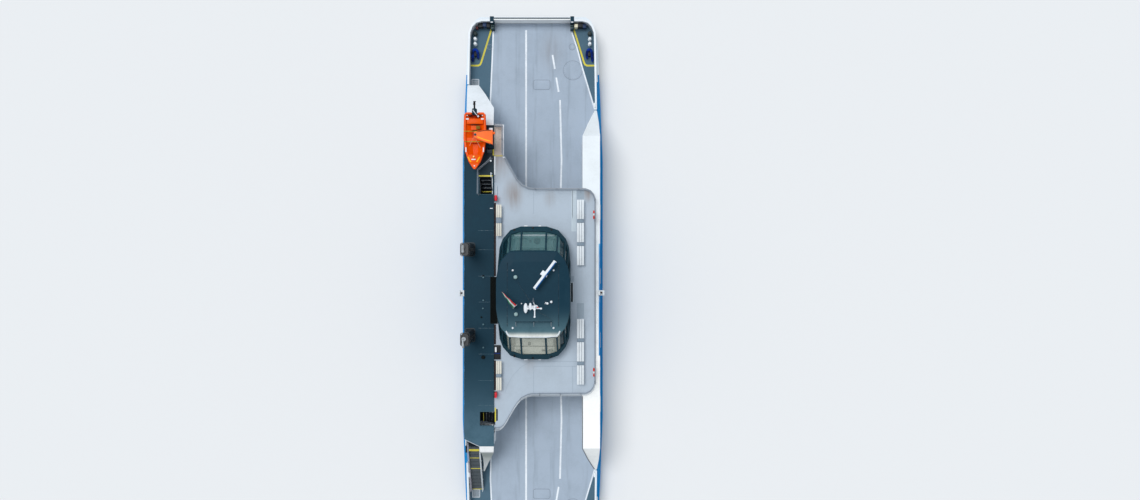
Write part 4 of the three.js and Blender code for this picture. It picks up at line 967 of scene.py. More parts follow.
# %% [markdown]
# ## Mooring gear
# Each corner has two bollards and a capstan on a shared plate. The bollards are turned posts with a wide
# flat head, worn bright by ropes. The capstan's waist grips the rope, so it stays dark and greasy.

# %% Bollards and capstans
bollard_white = painted("bollard white", (232, 238, 242), (178, 176, 168), RUST, amount=0.3, wear=0.8)
capstan_dark = painted("capstan dark", (34, 52, 54), (58, 60, 56), (122, 120, 112), amount=0.6, gloss=0.3)
BOLLARD = [(0.15, 0.02), (0.15, 0.05), (0.1, 0.07), (0.095, 0.34), (0.12, 0.38), (0.128, 0.42),
    (0.118, 0.448), (0, 0.45)]
CAPSTAN = [(0.19, 0.03), (0.19, 0.12), (0.17, 0.14), (0.11, 0.2), (0.09, 0.3), (0.12, 0.41), (0.165, 0.44),
    (0.165, 0.48), (0.14, 0.498), (0, 0.5)]
for end, side, corner in CORNERS:
    x = side * 4.93
    foot = rounded(around(x, 0.198), (end * 20.91, end * 22.24), 0.06)
    make("mooring_plate_" + corner, walkway_paint, (add_plate, foot, *above(CAR_DECK, 0.002, 0.05)),
        bevel=0.006, stands_for=["mooring_" + corner])
    make_turned("bollards_" + corner, bollard_white, BOLLARD, [(x, end * along, CAR_DECK)
        for along in (21.15, 21.57)], 28)
    at = (x, end * 22.02, CAR_DECK)
    ribs = [(add_moved, Matrix.Translation(at) @ Matrix.Rotation(angle, 4, "Z"), add_block, (0.095, 0.125),
        (-0.012, 0.012), (0.17, 0.4)) for angle in turns(6)]
    make("capstan_" + corner, capstan_dark, (add_lathe, CAPSTAN, at, 28), *ribs)
print("corners:", len(CORNERS))

# %% [markdown]
# ## Gear along the end bulwarks
# Lockers with lids stand against the bulwark in each corner, with a red hose box to port and an electric
# cabinet to starboard. They are plain welded boxes with a lid that overhangs and a bent handle, and their
# edges are bevelled.

# %% Lockers
locker_black = painted("locker black", (26, 30, 34), (48, 50, 52), (92, 92, 90), amount=0.5, gloss=0.3)
locker_blue = painted("locker blue", (18, 50, 92), (40, 60, 84), SALT, gloss=0.3)
hose_red = painted("hose box red", (112, 44, 44), (80, 44, 44), SALT, gloss=0.3)
cabinet_cream = painted("cabinet cream", (232, 226, 196), (186, 178, 148), RUST, amount=0.3)
LID, LID_LAP = 0.05, 0.015
# columns: name, x, distance of both sides from midships, height, finish
LOCKERS = [("locker_a", (-4.62, -4.26), (22.5, 22.8), 0.62, locker_black), ("locker_b", (-4.22, -3.94),
    (22.54, 22.86), 0.7, locker_blue), ("locker_c", (-3.9, -3.62), (22.5, 22.86), 0.6, locker_black),
    ("locker_d", (3.94, 4.3), (22.5, 22.86), 0.66, locker_black), ("locker_e", (4.34, 4.6), (22.46, 22.78),
    0.58, locker_blue), ("cabinet", (3.62, 3.88), (22.46, 22.7), 0.74, cabinet_cream),
    ("hose_box", (-4.82, -4.69), (22.4, 22.56), 0.5, hose_red)]
for end, end_name in ENDS:
    for name, x, y, height, finish in LOCKERS:
        lid_x, lid_y = (x[0] - LID_LAP, x[1] + LID_LAP), (end * (y[0] - LID_LAP), end * (y[1] + LID_LAP))
        inner, level = end * y[0], CAR_DECK + height - 0.12
        left, right = x[0] + 0.06, x[1] - 0.06
        handle = [(at, inner - end * out, level) for at, out in ((left, 0), (left, 0.04), (right, 0.04),
            (right, 0))]
        make(f"{name}_{end_name}", finish, (add_block, x, (end * y[0], end * y[1]), above(CAR_DECK, 0.007,
            height - LID)), (add_block, lid_x, lid_y, above(CAR_DECK, height - LID, height)),
            (add_tube, handle, 0.01, 6), bevel=0.012)
print("lockers:", 2 * len(LOCKERS))

# %% [markdown]
# ## Rope fenders
# Behind the bollards a dark blue padded fender hangs doubled over a bracket, so from above it shows two limbs
# with a dark gap between them. A fat tube follows the U, thins out at its ends and is rounded by subdivision.
# The weave of its cover is a fine bump. Cloth simulation would add little on so small and so tight a pad.


# %% Woven cloth
def make_cover_cloth(name, colour, dark):
    """A woven cover: threads as two crossing waves, in colour and in relief."""
    finish = Finish(name)
    x, y, z = finish.xyz()
    across = finish.math("SINE", finish.math("MULTIPLY", finish.math("ADD", x, z), 900.0))
    along = finish.math("SINE", finish.math("MULTIPLY", finish.math("SUBTRACT", y, z), 900.0))
    weave = finish.math("MULTIPLY", across, along)
    fade_and_sheen = finish.ramp(finish.noise(finish.place(), 6.0, 6.0), 0.4, 0.7)
    shade = finish.math("MULTIPLY_ADD", weave, 0.12, fade_and_sheen, clamp=True)
    raised = finish.add("ShaderNodeBump", {"Strength": 0.3, "Distance": 0.001, "Height": weave})
    return finish.set({"Base Color": finish.mix(shade, dark, colour), "Normal": raised, "Roughness": 0.85,
        "Specular IOR Level": 0.1, "Sheen Weight": 0.1})


fender_blue = make_cover_cloth("fender cover", (8, 52, 150), (2, 24, 80))
print("cloth:", fender_blue.name)

# %% Padded fenders
# the fender's path over its bracket, from end to end. Columns: across, along, height, radius
FENDER_PATH = [(-0.24, -0.6, 0.16, 0.06), (-0.25, -0.5, 0.18, 0.11), (-0.24, -0.2, 0.22, 0.13),
    (-0.22, 0.1, 0.36, 0.135), (-0.16, 0.34, 0.5, 0.14), (0.0, 0.42, 0.56, 0.14), (0.16, 0.34, 0.5, 0.14),
    (0.22, 0.1, 0.36, 0.135), (0.22, -0.1, 0.22, 0.13), (0.2, -0.26, 0.18, 0.11), (0.19, -0.36, 0.17, 0.06)]


def make_fender(name, x, y, side, end):
    rings = []
    for i, (*place, radius) in enumerate(FENDER_PATH):
        before, after = FENDER_PATH[max(i - 1, 0)], FENDER_PATH[min(i + 1, len(FENDER_PATH) - 1)]
        heading = (Vector(after[:3]) - Vector(before[:3])).normalized()
        up = (Vector((0, 0, 1)) - heading * heading.z).normalized()
        out = heading.cross(up)
        rings.append([Vector(place) + radius * (math.cos(a) * out + 0.9 * math.sin(a) * up)
            for a in turns(12)])
    shape = bmesh.new()
    join_rings(shape, add_corners(shape, rings))
    move(shape.verts, Matrix.Translation((x, y, CAR_DECK)) @ Matrix.Diagonal((-side, end, 1, 1)))
    piece = make_piece(name, shape, fender_blue, smooth=80)
    rounding = piece.modifiers.new("rounding", "SUBSURF")
    rounding.levels = rounding.render_levels = 2
    apply_modifiers(piece)


for end, side, corner in CORNERS:
    x, y = side * 4.9, end * 20.2
    make_fender("fender_" + corner, x, y, side, end)
    arm = [(x, y + end * along, CAR_DECK + up) for along, up in ((-0.05, 0.38), (0.1, 0.43), (0.2, 0.44))]
    make("fender_bracket_" + corner, locker_black, (add_block, around(x, 0.1), (y - end * 0.12,
        y + end * 0.34), above(CAR_DECK, 0.007, 0.4)), (add_tube, arm, 0.03), bevel=0.01)
print("fenders:", len(CORNERS))

# %% [markdown]
# ## Upper deck
# The passengers' deck runs on over the starboard casing as far as the railing, so a sheet of the same paint
# covers that part of the white casing. Its corners are round. A low toe board follows the railings at its
# edge, and its grey band also stands in for the railings' shadow, a painted shadow. Plates of a greyer,
# newer paint lie where fittings once stood, and thin lines are the weld seams of the plating.

# %% Deck over the starboard casing
ON_DECK = UPPER_DECK + 0.004
corner_arc = [(4.25 + 1.05 * math.cos(a), 7.35 + 1.05 * math.sin(a)) for a in turns(32)[:9]]
outline = [*corner_arc, (4.242, 8.4), (4.242, -8.28), *[(x, -y + 0.12) for x, y in corner_arc[::-1]]]
sheet = gather((add_plate, outline, UPPER_DECK + 0.001, ON_DECK))
make_piece("casing_walkway", split_faces(sheet), upper_deck_paint, smooth=0)
# Toe boards: their grey band is partly a painted shadow of the railings.
toe_grey = painted("toe board grey", (138, 149, 162), (112, 120, 130), SALT, gloss=0.3)
make("toe_boards", toe_grey, *[(add_stripe, path, 0.11, *above(UPPER_DECK, 0.005, 0.07))
    for path in (BOW_RAIL, STERN_RAIL, STARBOARD_RAIL)])
print("deck sheet corners:", len(outline))

# %% Patches and seams
patch_grey = painted("patch grey", (160, 174, 186), (136, 148, 158), SALT, 0.8, 0.3)
pale_deck = painted("pale deck", (196, 208, 216), (168, 178, 186), SALT, 0.8, 0.3)
PATCHES = (((3.79, 4.36), (7.5, 8.34)), ((3.79, 4.36), (-2.1, -0.88)), ((3.3, 3.55), (0.86, 1.3)))
make("deck_patches", patch_grey, *[(add_plate, rounded(x, y, 0.03), *above(ON_DECK, 0, 0.005))
    for x, y in PATCHES])
make("pale_strip", pale_deck, (add_plate, rounded((3.34, 3.74), (4.9, 8.3), 0.03), *above(ON_DECK, 0,
    0.003)))
DECK_SEAMS = [[(-2.01, -8.1), (-1.85, -7.6), (-1.45, -6.8), (-0.8, -6.1), (-0.01, -5.58)], [(-0.01, -5.58),
    (4.2, -5.58)], [(0.3, -5.97), (4.2, -5.97)], [(0.3, -5.97), (0.3, -8.1)], [(3.44, -5.97), (3.44, -8.2)],
    [(0.3, 6.3), (0.3, 8.1)], [(3.44, 6.0), (3.44, 8.2)]]
make("deck_seams", patch_grey, *[(add_stripe, path, 0.03, *above(ON_DECK, 0, 0.003)) for path in DECK_SEAMS])
print("patches:", len(PATCHES), "seams:", len(DECK_SEAMS))

# %% [markdown]
# ## Benches
# Every seat is three planks of pale plastic wood on a welded stand, and a grey box closes the gap between two
# seats. Seen closer, the planks have rounded edges and a joint between them, so they are made as planks, not
# as one slab. The row tree copies a seat's planks for each seat along the deck.

# %% Slatted seats
# columns: name, middle x, width, seat length, first seat's middle, step to the next, seats, finish
BENCHES = [("benches_port_bow", -2.47, 0.43, 1.03, 5.03, 1.49, 2, bench_cream), ("benches_port_stern",
    -2.47, 0.43, 1.03, -7.32, 1.32, 2, bench_cream), ("benches_starboard_bow", 4.07, 0.56, 1.54, 2.95, 1.85,
    3, bench_white), ("benches_starboard_stern", 4.07, 0.56, 1.54, -6.6, 1.85, 3, bench_white)]
bench_grey = painted("bench grey", (128, 144, 158), (108, 120, 132), SALT, gloss=0.3)
SEAT_TOP, UNDER_SEAT = UPPER_DECK + 0.465, UPPER_DECK + 0.405
PLANKS, JOINT = 3, 0.03
for name, x, wide, long, first, step, seats, finish in BENCHES:
    left, right = around(x, wide / 2)
    plank = (wide - JOINT * (PLANKS - 1)) / PLANKS
    starts = [left + i * (plank + JOINT) for i in range(PLANKS)]
    planks = [(add_block, (start, start + plank), around(first, long / 2), above(SEAT_TOP, -0.05, 0))
        for start in starts]
    make_row(name + "_planks", finish, seats, (0, step, 0), *planks, bevel=0.012, stands_for=[name])
    left, right = left + 0.06, right - 0.06
    stands = [(add_tube, [(left, y, ON_DECK), (left, y, UNDER_SEAT), (right, y, UNDER_SEAT),
        (right, y, ON_DECK)], 0.022) for y in around(first, 0.36 * long)]
    make_row(name + "_stands", bench_grey, seats, (0, step, 0), *stands)
    gap = (first + long / 2 + 0.012, first + step - long / 2 - 0.012)
    lips = [(add_block, around(x, wide / 2 - 0.03), lip, above(SEAT_TOP, -0.061, -0.045))
        for lip in ((gap[0], gap[0] + 0.03), (gap[1] - 0.03, gap[1]))]
    make_row(name + "_boxes", bench_grey, seats - 1, (0, step, 0), (add_block, around(x, wide / 2 - 0.01),
        gap, (ON_DECK, UNDER_SEAT)), *lips, bevel=0.01)
print("benches:", len(BENCHES))

# %% [markdown]
# ## Lifebuoys and fire boxes
# A lifebuoy hangs inside the starboard railing at each end: a ring whose faces are red, or white in four
# fields. Red boxes with a black back hold the fire hoses on the port side.


# %% Lifebuoys
def add_buoy(shape, at, radius, tube, sides=40, round_sides=14):
    """A ring that stands upright and faces starboard, with four white fields on red."""
    rings = []
    for a in turns(sides):
        reaches = [(tube * math.sin(b) * 0.8, radius + tube * math.cos(b)) for b in turns(round_sides)]
        rings.append([Vector(at) + Vector((out, reach * math.cos(a), reach * math.sin(a)))
            for out, reach in reaches])
    faces = join_rings(shape, add_corners(shape, rings), True)
    for number, face in enumerate(faces):
        face.material_index = int((number // round_sides + 2) % 10 < 3)


for name, y in (("lifebuoy_bow", 6.2), ("lifebuoy_stern", -6.35)):
    make(name, [lifebuoy_red, bench_white], (add_buoy, (5.13, y, UPPER_DECK + 0.62), 0.29, 0.075))
    hook = ((5.25, 1.08), (5.17, 1.08), (5.12, 1.0), (5.06, 1.02))
    make_tubes(name + "_hooks", rail_steel, 0.012, [[(x, at, UPPER_DECK + up) for x, up in hook]
        for at in around(y, 0.12)], 6)
print("lifebuoys: 2")

# %% Fire boxes
fire_red = painted("fire red", (214, 24, 44), (150, 30, 40), SALT, gloss=0.3)
for name, y in (("fire_box_bow", 7.56), ("fire_box_stern", -8.19)):
    handle = ((-2.63, -0.06), (-2.6, -0.06), (-2.6, 0.06), (-2.63, 0.06))
    make(name, fire_red, (add_block, (-2.765, -2.63), around(y, 0.2), (ON_DECK, UPPER_DECK + 0.62)),
        (add_block, (-2.78, -2.615), around(y, 0.215), above(UPPER_DECK, 0.62, 0.66)),
        (add_tube, [(x, y + aside, UPPER_DECK + 0.4) for x, aside in handle], 0.008, 6), bevel=0.01)
    make_blocks(name + "_back", locker_black, [((-2.882, -2.79), around(y, 0.2),
        (ON_DECK, UPPER_DECK + 0.66))], bevel=0.01)
print("fire boxes: 2")

# %% [markdown]
# ## Gutter, grating and sunk locker along the port edge
# Between the deck and the house roof runs a gutter, rust-brown inside, and its dark is painted shade for the
# recess it lies in. Beside the wheelhouse it widens into a grating for the machinery's air, whose near-black
# also stands in for the wheelhouse's shadow there, a painted shadow. Aft of it lies a sunk locker with a blue
# rail and a white box. The grating is a row of upright bars in a frame over a dark floor, so one sees dark
# between them.

# %% Gutter and grating
# Gutter: rust-brown, and dark as painted shade of its recess.
gutter_rust_and_shade = painted("gutter brown", (66, 56, 56), (44, 40, 42), RUST, 0.8, 0.2, amount=0.7)
grating_dark = painted("grating dark", (16, 22, 22), (30, 34, 34), (60, 66, 64), 0.7, 0.1)
parts = []
for y in ((1.3, 7.2), (-4.2, -2.6), (-7.9, -5.5)):
    parts.append((add_plate, rounded((-2.884, -2.74), y, 0.02), *above(ON_DECK, 0, 0.006)))
    parts.append((add_block, (-2.75, -2.735), y, above(ON_DECK, 0, 0.03)))
make("gutter", gutter_rust_and_shade, *parts)
# Grating: its near-black frame and floor are partly painted shadow of the wheelhouse.
GRATE_LOW = UPPER_DECK + 0.03
make("grating_frame", grating_dark, (add_loop, rounded((-3.155, -2.63), (-2.5, 1.21), 0.03), 0.06,
    GRATE_LOW, UPPER_DECK + 0.13), (add_plate, rounded((-3.14, -2.65), (-2.48, 1.19), 0.02),
    *above(GRATE_LOW, 0, 0.015)), bevel=0.004)
make_row("grating_bars", grating_dark, 60, (0, 0.061, 0), (add_block, (-3.13, -2.66), (-2.47, -2.455),
    above(UPPER_DECK, 0.05, 0.12)))
print("grating bars: 60")

# %% Sunk locker, mat and door mat
cover_blue = make_laminate("cover blue", (22, 58, 130), (30, 44, 84), 0.7)
locker_edge = rounded((-2.875, -2.36), (-5.4, -4.28), 0.04)
make("sunk_locker", locker_black, (add_plate, locker_edge, *above(ON_DECK, 0, 0.01)),
    (add_loop, locker_edge, 0.03, *above(ON_DECK, 0, 0.06)), bevel=0.005)
make_tubes("blue_rail", cover_blue, 0.035, [[(x, -4.92, ON_DECK + 0.08) for x in (-2.86, -2.37)]], 10)
make_blocks("small_chest", antenna_white, [((-2.79, -2.67), (-4.78, -4.42), above(ON_DECK, 0.01, 0.22)),
    ((-2.8, -2.66), (-4.79, -4.41), above(ON_DECK, 0.22, 0.25))], bevel=0.01)
rubber = painted("rubber mat", (44, 54, 62), (70, 78, 84), (90, 98, 104), 0.9, 0.2)
RIB_STEP = 0.05
parts = []
for x, y in (((-2.72, -2.59), (-10.36, -9.42)), ((3.3, 3.46), (-0.78, 0.76))):
    parts.append((add_plate, rounded(x, y, 0.02), *above(ON_DECK, 0, 0.008)))
    for i in range(1, int((y[1] - y[0]) / RIB_STEP)):
        parts.append((add_block, (x[0] + 0.012, x[1] - 0.012), around(y[0] + RIB_STEP * i, 0.008),
            above(ON_DECK, 0.007, 0.013)))
make("rubber_mats", rubber, *parts)
make("door_mat_edges", line_white, *[(add_stripe, [(x, 0.8), (x, -0.8)], 0.022, *above(ON_DECK, 0, 0.01))
    for x in (3.288, 3.485)])
print("mats: 2")

# %% [markdown]
# ## Roof of the port house
# Seen from above the slate paint is dark amidships. Round the stairs by the boat it is painted grey as the
# boat's shadow, and towards the stern end it is painted paler as a sheen for the sky it reflects. All three
# come from where a point lies, so one finish serves both roof plates.


# %% Roof paint
def make_roof_paint():
    finish = Finish("roof slate")
    x, y, z = finish.xyz()
    # Painted sheen: the slate is painted paler towards the stern for the sky it reflects there.
    fade_and_sheen = finish.zone(y, -3.0, -12.6)
    fade_and_sheen = finish.math("MULTIPLY", fade_and_sheen, fade_and_sheen)
    # Painted shadow: beside the boat the slate is painted a duller grey for the boat's shadow.
    boat_shadow = finish.math("MULTIPLY", finish.zone(x, -4.13, -4.1), finish.zone(y, 9.4, 9.42))
    colour = finish.mix(boat_shadow, finish.mix(fade_and_sheen, DARK_SLATE, (74, 104, 120)), (34, 46, 54))
    return finish.weather(colour, SLATE_DIRT, SLATE_EDGE, 0.5, 0.12, patch=1.4)


dress(make_roof_paint(), "house_roof", "boat_deck")
print("roof paint on 2 nodes")

# %% [markdown]
# Cross seams show where the roof's plates are welded, and small capped vents breathe for the cabins. The
# vents are turned caps on a flange, one form in a row of places.

# %% Roof seams and vents
seam_slate = painted("seam slate", (62, 92, 106), (50, 78, 92), SALT, 0.6, 0.15)
cap_slate = painted("cap slate", (92, 122, 132), (70, 98, 110), SALT, 0.6, 0.15)
ROOF_SEAMS = [(-2.9, y) for y in (4.97, 3.42, 1.3, -2.89, -4.97, -7.1, -9.1)] + [(-3.2, -0.79)]
make_blocks("roof_seams", seam_slate, [((-4.15, end), around(y, 0.012), above(ROOF_TOP, 0, 0.006))
    for end, y in ROOF_SEAMS], 0.002)
CAP = [(0.06, 0), (0.06, 0.01), (0.03, 0.02), (0.03, 0.05), (0.07, 0.06), (0.06, 0.09), (0, 0.1)]
PALE_CAPS = [(-3.74, 1.2), (-3.74, -0.64), (-3.76, -1.29), (-3.74, -2.58), (-3.74, -4.44)]
make_turned("roof_vents", cap_slate, CAP, [(x, y, ROOF_TOP) for x, y in PALE_CAPS])
make_turned("roof_plugs", grating_dark, CAP, [(-3.9, -2.0, ROOF_TOP), (-3.745, 1.32, ROOF_TOP)])
big_cap = [(radius * 2.2, height * 1.6) for radius, height in CAP]
make_turned("roof_ventilator", grating_dark, big_cap, [(-3.745, -5.22, ROOF_TOP)], 28)
make_blocks("roof_mark", line_white, [((-3.21, -2.98), (6.72, 6.78), above(ROOF_TOP, 0, 0.012))])
make_tubes("alcove_edge", vent_white, 0.025, [[(-5.25, -11.84, 5.97), (-5.14, -11.9, 6.0),
    (-4.84, -12.04, 6.03), (-4.04, -12.41, 6.03)]])
print("roof seams:", len(ROOF_SEAMS), "vents:", len(PALE_CAPS))

# %% [markdown]
# ## Stairs
# Each tread has a nosing: a strip of another colour along its front edge, so that a foot finds it. Most are
# plain, and a few are yellow. A nosing stands a few millimetres proud and laps over the front of its tread.
# The flights inside the wells are painted much darker than the one outside, as painted shade, for little
# light reaches their treads.

# %% Stair nosings
# Painted shade: well_dark stands in for the dark inside the wells.
well_dark = painted("well dark", (12, 16, 22), (24, 28, 32), (50, 54, 58), 0.8, 0.05)
tread_grey = painted("tread grey", (60, 68, 74), (84, 88, 88), SALT, 0.8, 0.2)
dress(well_dark, "stair_bow_well", "stair_stern_well")


def tread_nosing(foot, along, tread, riser, number, wide):
    """The x, y and z ranges of one tread's nosing on a flight that climbs along X (0) or Y (1)."""
    front = foot[along] + number * tread
    level = foot[2] + (number + 1) * riser
    ranges = [(front - 0.012, front + 0.045), around(foot[1 - along], wide / 2 - 0.06)]
    return (*(ranges[::-1] if along else ranges), above(level, -0.03, 0.004))


# name, foot, axis it climbs along, tread, riser, steps, width, yellow ones, plain finish
FLIGHTS = [("outside_stair", (-4.72, -17.2, 1.31), 1, 0.3491, 0.1992, 11, 1.0, (0, 6, 9), tread_grey),
    ("stair_bow_well", (-3.57, 6.7, 3.71), 1, 0.2889, 0.2184, 9, 0.94, (5,), dark_steel),
    ("stair_stern_well", (-4.91, -10.17, 3.71), 0, 0.2625, 0.2422, 8, 0.94, (4,), dark_steel)]
for name, foot, along, tread, riser, steps, wide, bright, plain in FLIGHTS:
    step = (0, tread, riser) if along else (tread, 0, riser)
    make_row(name + "_nosings", plain, steps, step,
        (add_block, *tread_nosing(foot, along, tread, riser, 0, wide)), bevel=0.003)
    marked = [tread_nosing(foot, along, tread, riser, number, wide) for number in bright]
    make_blocks(name + "_marks", line_yellow, [(x, y, (z[0] + 0.01, z[1] + 0.005)) for x, y, z in marked],
        0.003)
print("flights:", len(FLIGHTS))

# %% [markdown]
# ## Edges of the stair wells
# A yellow nosing marks the top of each flight, a thin pale flat bar finishes the well's other edges, and
# bent handrails run down inside. A white kick strip and a low rail part the bow well from the deck beside
# it.

# %% Well edges and handrails
make_blocks("well_nosings", line_yellow, [((-4.12, -3.0), (9.3, 9.42), above(ROOF_TOP, 0.001, 0.014)),
    ((-2.83, -2.735), (-10.46, -9.3), above(UPPER_DECK, 0.005, 0.018))], 0.004)
WELL_EDGES = (((-4.05, -3.0), (7.86, 7.89)), ((-4.02, -2.9), (-9.61, -9.57)),
    ((-4.02, -2.9), (-10.78, -10.73)))
make_blocks("well_edges", seam_slate, [(x, y, above(ROOF_TOP, 0, 0.02)) for x, y in WELL_EDGES], 0.003)
make_tubes("well_handrails", post_grey, 0.02, [[(-3.03, 9.5, ROOF_TOP), (-3.03, 9.5, 6.9),
    (-3.03, 9.25, 6.9), (-3.03, 7.3, 5.1), (-3.03, 7.3, 4.3)], [(-4.0, 9.28, 6.72), (-4.0, 7.3, 5.0),
    (-4.0, 7.3, 4.3)], *[[(-2.86, y, 6.2), (-4.4, y, 4.9), (-4.4, y, 4.3)] for y in (-9.66, -10.5)]])
GATE = ((9.52, ROOF_TOP, 9.52, 6.98), (9.22, ROOF_TOP - 0.1, 9.22, 6.98), (9.54, 6.98, 9.2, 6.98))
make_tubes("gate_posts", bench_white, 0.035, [[(-3.03, y, z), (-3.03, to_y, to_z)]
    for y, z, to_y, to_z in GATE])
make_blocks("kick_strips", bench_white, [((-2.88, -2.77), (9.45, 10.95), above(UPPER_DECK, 0.003, 0.09)),
    ((-2.7, -2.66), (7.78, 8.56), above(UPPER_DECK, 0.003, 0.16))])
make_blocks("rail_boxes", bench_white, [((-2.1, -1.95), (10.7, 10.82), above(UPPER_DECK, 0.7, 0.95)),
    ((-3.1, -2.98), (10.4, 10.52), above(ROOF_TOP, 0.95, 1.1))])
print("well edges:", len(WELL_EDGES))

# %% [markdown]
# ## Funnels and side lights
# The exhaust of each engine leaves its funnel through a pale steel bend at the port side of the top. A
# sooty collar holds the funnel to the roof, and rungs lead up it. Beside the wheelhouse each side of the
# ship has its navigation light on a bracket, in front of a screen that hides it from the other side.

# %% Funnels
exhaust_grey = painted("exhaust grey", (176, 182, 186), (96, 92, 88), RUST, 0.6, amount=0.7)
# name, radius, sides, path
EXHAUSTS = [("exhaust_bow", 0.105, 16, [(-4.93, 3.26, 9.48), (-4.92, 3.28, 9.6), (-4.92, 3.68, 9.62),
    (-4.92, 3.7, 9.52)]), ("exhaust_stern", 0.165, 20, [(-4.84, -3.36, 9.46), (-4.84, -3.37, 9.62)]),
    ("exhaust_stern_leg", 0.085, 16, [(-4.91, -3.45, 9.56), (-4.91, -3.86, 9.56), (-4.91, -4.02, 9.3)])]
for name, radius, sides, path in EXHAUSTS:
    make_tubes(name, exhaust_grey, radius, [path], sides)
for end, end_name in ENDS:
    y = end * 3.44
    collars = [(add_loop, rounded((-5.13 - grown, -4.47 + grown), around(y, 0.48 + grown), 0.14), 0.05,
        *above(low, 0, 0.03)) for grown, low in ((0.05, ROOF_TOP + 0.002), (0.012, 9.2))]
    make("funnel_collar_" + end_name, funnel_black, *collars, bevel=0.004)
    make_blocks("funnel_ladder_" + end_name, dark_steel, [((-4.46, -4.43), around(y, 0.14),
        above(6.4 + 0.3 * i, 0, 0.03)) for i in range(9)], 0.004)
print("funnel fittings: 2 sets")

# %% Side lights
lamp_brown = painted("lamp brown", (64, 40, 36), (44, 36, 34), SALT, gloss=0.3)
SIDE_LAMP = [(0.07, 0), (0.075, 0.03), (0.06, 0.05), (0.06, 0.16), (0.078, 0.18), (0.06, 0.23), (0, 0.25)]
for name, lip, lamp, back, y, low in (("port", (-5.73, -5.64), (-5.6, -5.44), (-5.42, -5.3), (-0.34, 0.15),
        5.64), ("starboard", (5.86, 5.99), (5.68, 5.83), (5.5, 5.65), (-0.24, 0.16), UPPER_DECK + 0.01)):
    plate = (min(lip[0], back[0]), max(lip[1], back[1]))
    make_blocks("side_light_screen_" + name, bench_white, [(plate, y, above(low, 0, 0.03)),
        (lip, y, above(low, 0, 0.16)), (back, y, above(low, 0, 0.3)), (plate, above(y[0], 0, 0.03),
        above(low, 0, 0.3))])
    make_turned("side_light_" + name, lamp_brown, SIDE_LAMP, [(sum(lamp) / 2, sum(y) / 2 + 0.02,
        low + 0.03)], 24)
print("side lights: 2")

# %% [markdown]
# ## Inside the wheelhouse
# The windows lean inwards, so from above one looks through them at the floor and the desks. The bow half has
# a blue-green floor and a grey desk, and the stern half is cream. Each desk gets a console, screens, throttle
# boxes and a seat cushion, and the bow one also a pale ledge and a wheel. Most of these show as dark shapes
# behind the tinted glass.

# %% Floor and desks
INSIDE = UPPER_DECK + 0.008
floor_teal = painted("floor blue-green", (118, 168, 182), (96, 140, 152), SOOT, 0.7, 0.3)
floor_cream = painted("floor cream", (226, 222, 208), (184, 180, 168), SOOT, 0.7, 0.3)
desk_grey = painted("desk grey", (84, 118, 118), (66, 92, 94), SALT, gloss=0.3)
desk_cream = painted("desk cream", (240, 240, 228), (196, 194, 180), SOOT, gloss=0.3)
dress(desk_grey, "helm_bow")
dress(desk_cream, "helm_stern")
dress(painted("wheelhouse slate", (24, 56, 68), (44, 72, 82), (80, 104, 114), 0.5, 0.1), "wheelhouse_walls")
# half of the room's outline, x from its middle line, y
ROOM = [(2.7, 0.0), (2.7, 2.3), (2.58, 3.5), (2.34, 4.15), (1.78, 4.8), (0.9, 5.08)]
for (end, end_name), finish in zip(ENDS, (floor_teal, floor_cream)):
    outline = [(WHEELHOUSE_X + x, end * y) for x, y in ROOM]
    outline += [(WHEELHOUSE_X - x, end * y) for x, y in ROOM[::-1]]
    carpet = split_faces(gather((add_plate, outline, UPPER_DECK + 0.001, INSIDE)))
    make_piece("wheelhouse_floor_" + end_name, carpet, finish, smooth=0)
make_blocks("window_ledge_bow", antenna_white, [((-1.2, 2.0), (4.5, 4.64), (6.78, 6.84))])
make_blocks("console_bow", desk_grey, [((-1.3, 2.1), (4.27, 4.5), (INSIDE, 6.8))], 0.02)
make_blocks("console_stern", desk_cream, [((-1.2, 2.0), (-4.86, -4.27), (INSIDE, 6.8))], 0.03)
make_blocks("ledge_line_stern", seat_black, [((-1.25, 2.05), (-4.27, -4.2), (6.86, 6.875))], 0.003)
print("desks: 2")

# %% Screens, wheel and cushions
screens = [((x, x + 0.34), (4.28, 4.34), (6.86, 7.1)) for x in (-0.95, -0.5, 1.25)]
screens += [((x, x + 0.4), (-4.62, -4.5), (6.8, 7.02)) for x in (-1.05, 1.0, 1.5)]
make_blocks("helm_screens", seat_black, screens, 0.015)
WHEEL = [(0.06, 0.0), (0.07, 0.05), (0.22, 0.06), (0.26, 0.085), (0.22, 0.11), (0.07, 0.1), (0.03, 0.16),
    (0, 0.165)]
make_turned("steering_wheel", seat_black, WHEEL, [(0.62, 4.12, 6.86)], 28)
make_blocks("throttle_boxes", motor_black, [((0.0, 0.18), (4.0, 4.2), (6.85, 6.95)),
    ((-0.1, 0.12), (-4.16, -3.9), (6.85, 6.95)), ((-0.9, -0.6), (-4.75, -4.62), (6.8, 6.9))], 0.015)
CUSHION = [(0, 6.5), (0.25, 6.502), (0.28, 6.53), (0.27, 6.565), (0.2, 6.59), (0, 6.6)]
for name, x, y in (("bow", 0.5, 2.6), ("stern", 0.3, -2.6)):
    cushion = gather((add_lathe, CUSHION, (x, y, 0)))
    for vert in cushion.verts:
        out = vert.co.xy - Vector((x, y))
        squarer = (out.length / max(abs(out.x), abs(out.y), 1e-6)) ** 0.7
        vert.co.xy = Vector((x, y)) + out * squarer
    make_piece("helm_cushion_" + name, cushion, seat_black, smooth=60)
print("screens:", len(screens))

# %% [markdown]
# ## Wheelhouse roof
# Like the house roof's, the roof's paint is dark at the bow and painted paler to the stern as a sheen, and
# the rolled edge of the plate carries a painted highlight where it catches the sky. Two long seams run where
# its flat middle meets the sloping sides.


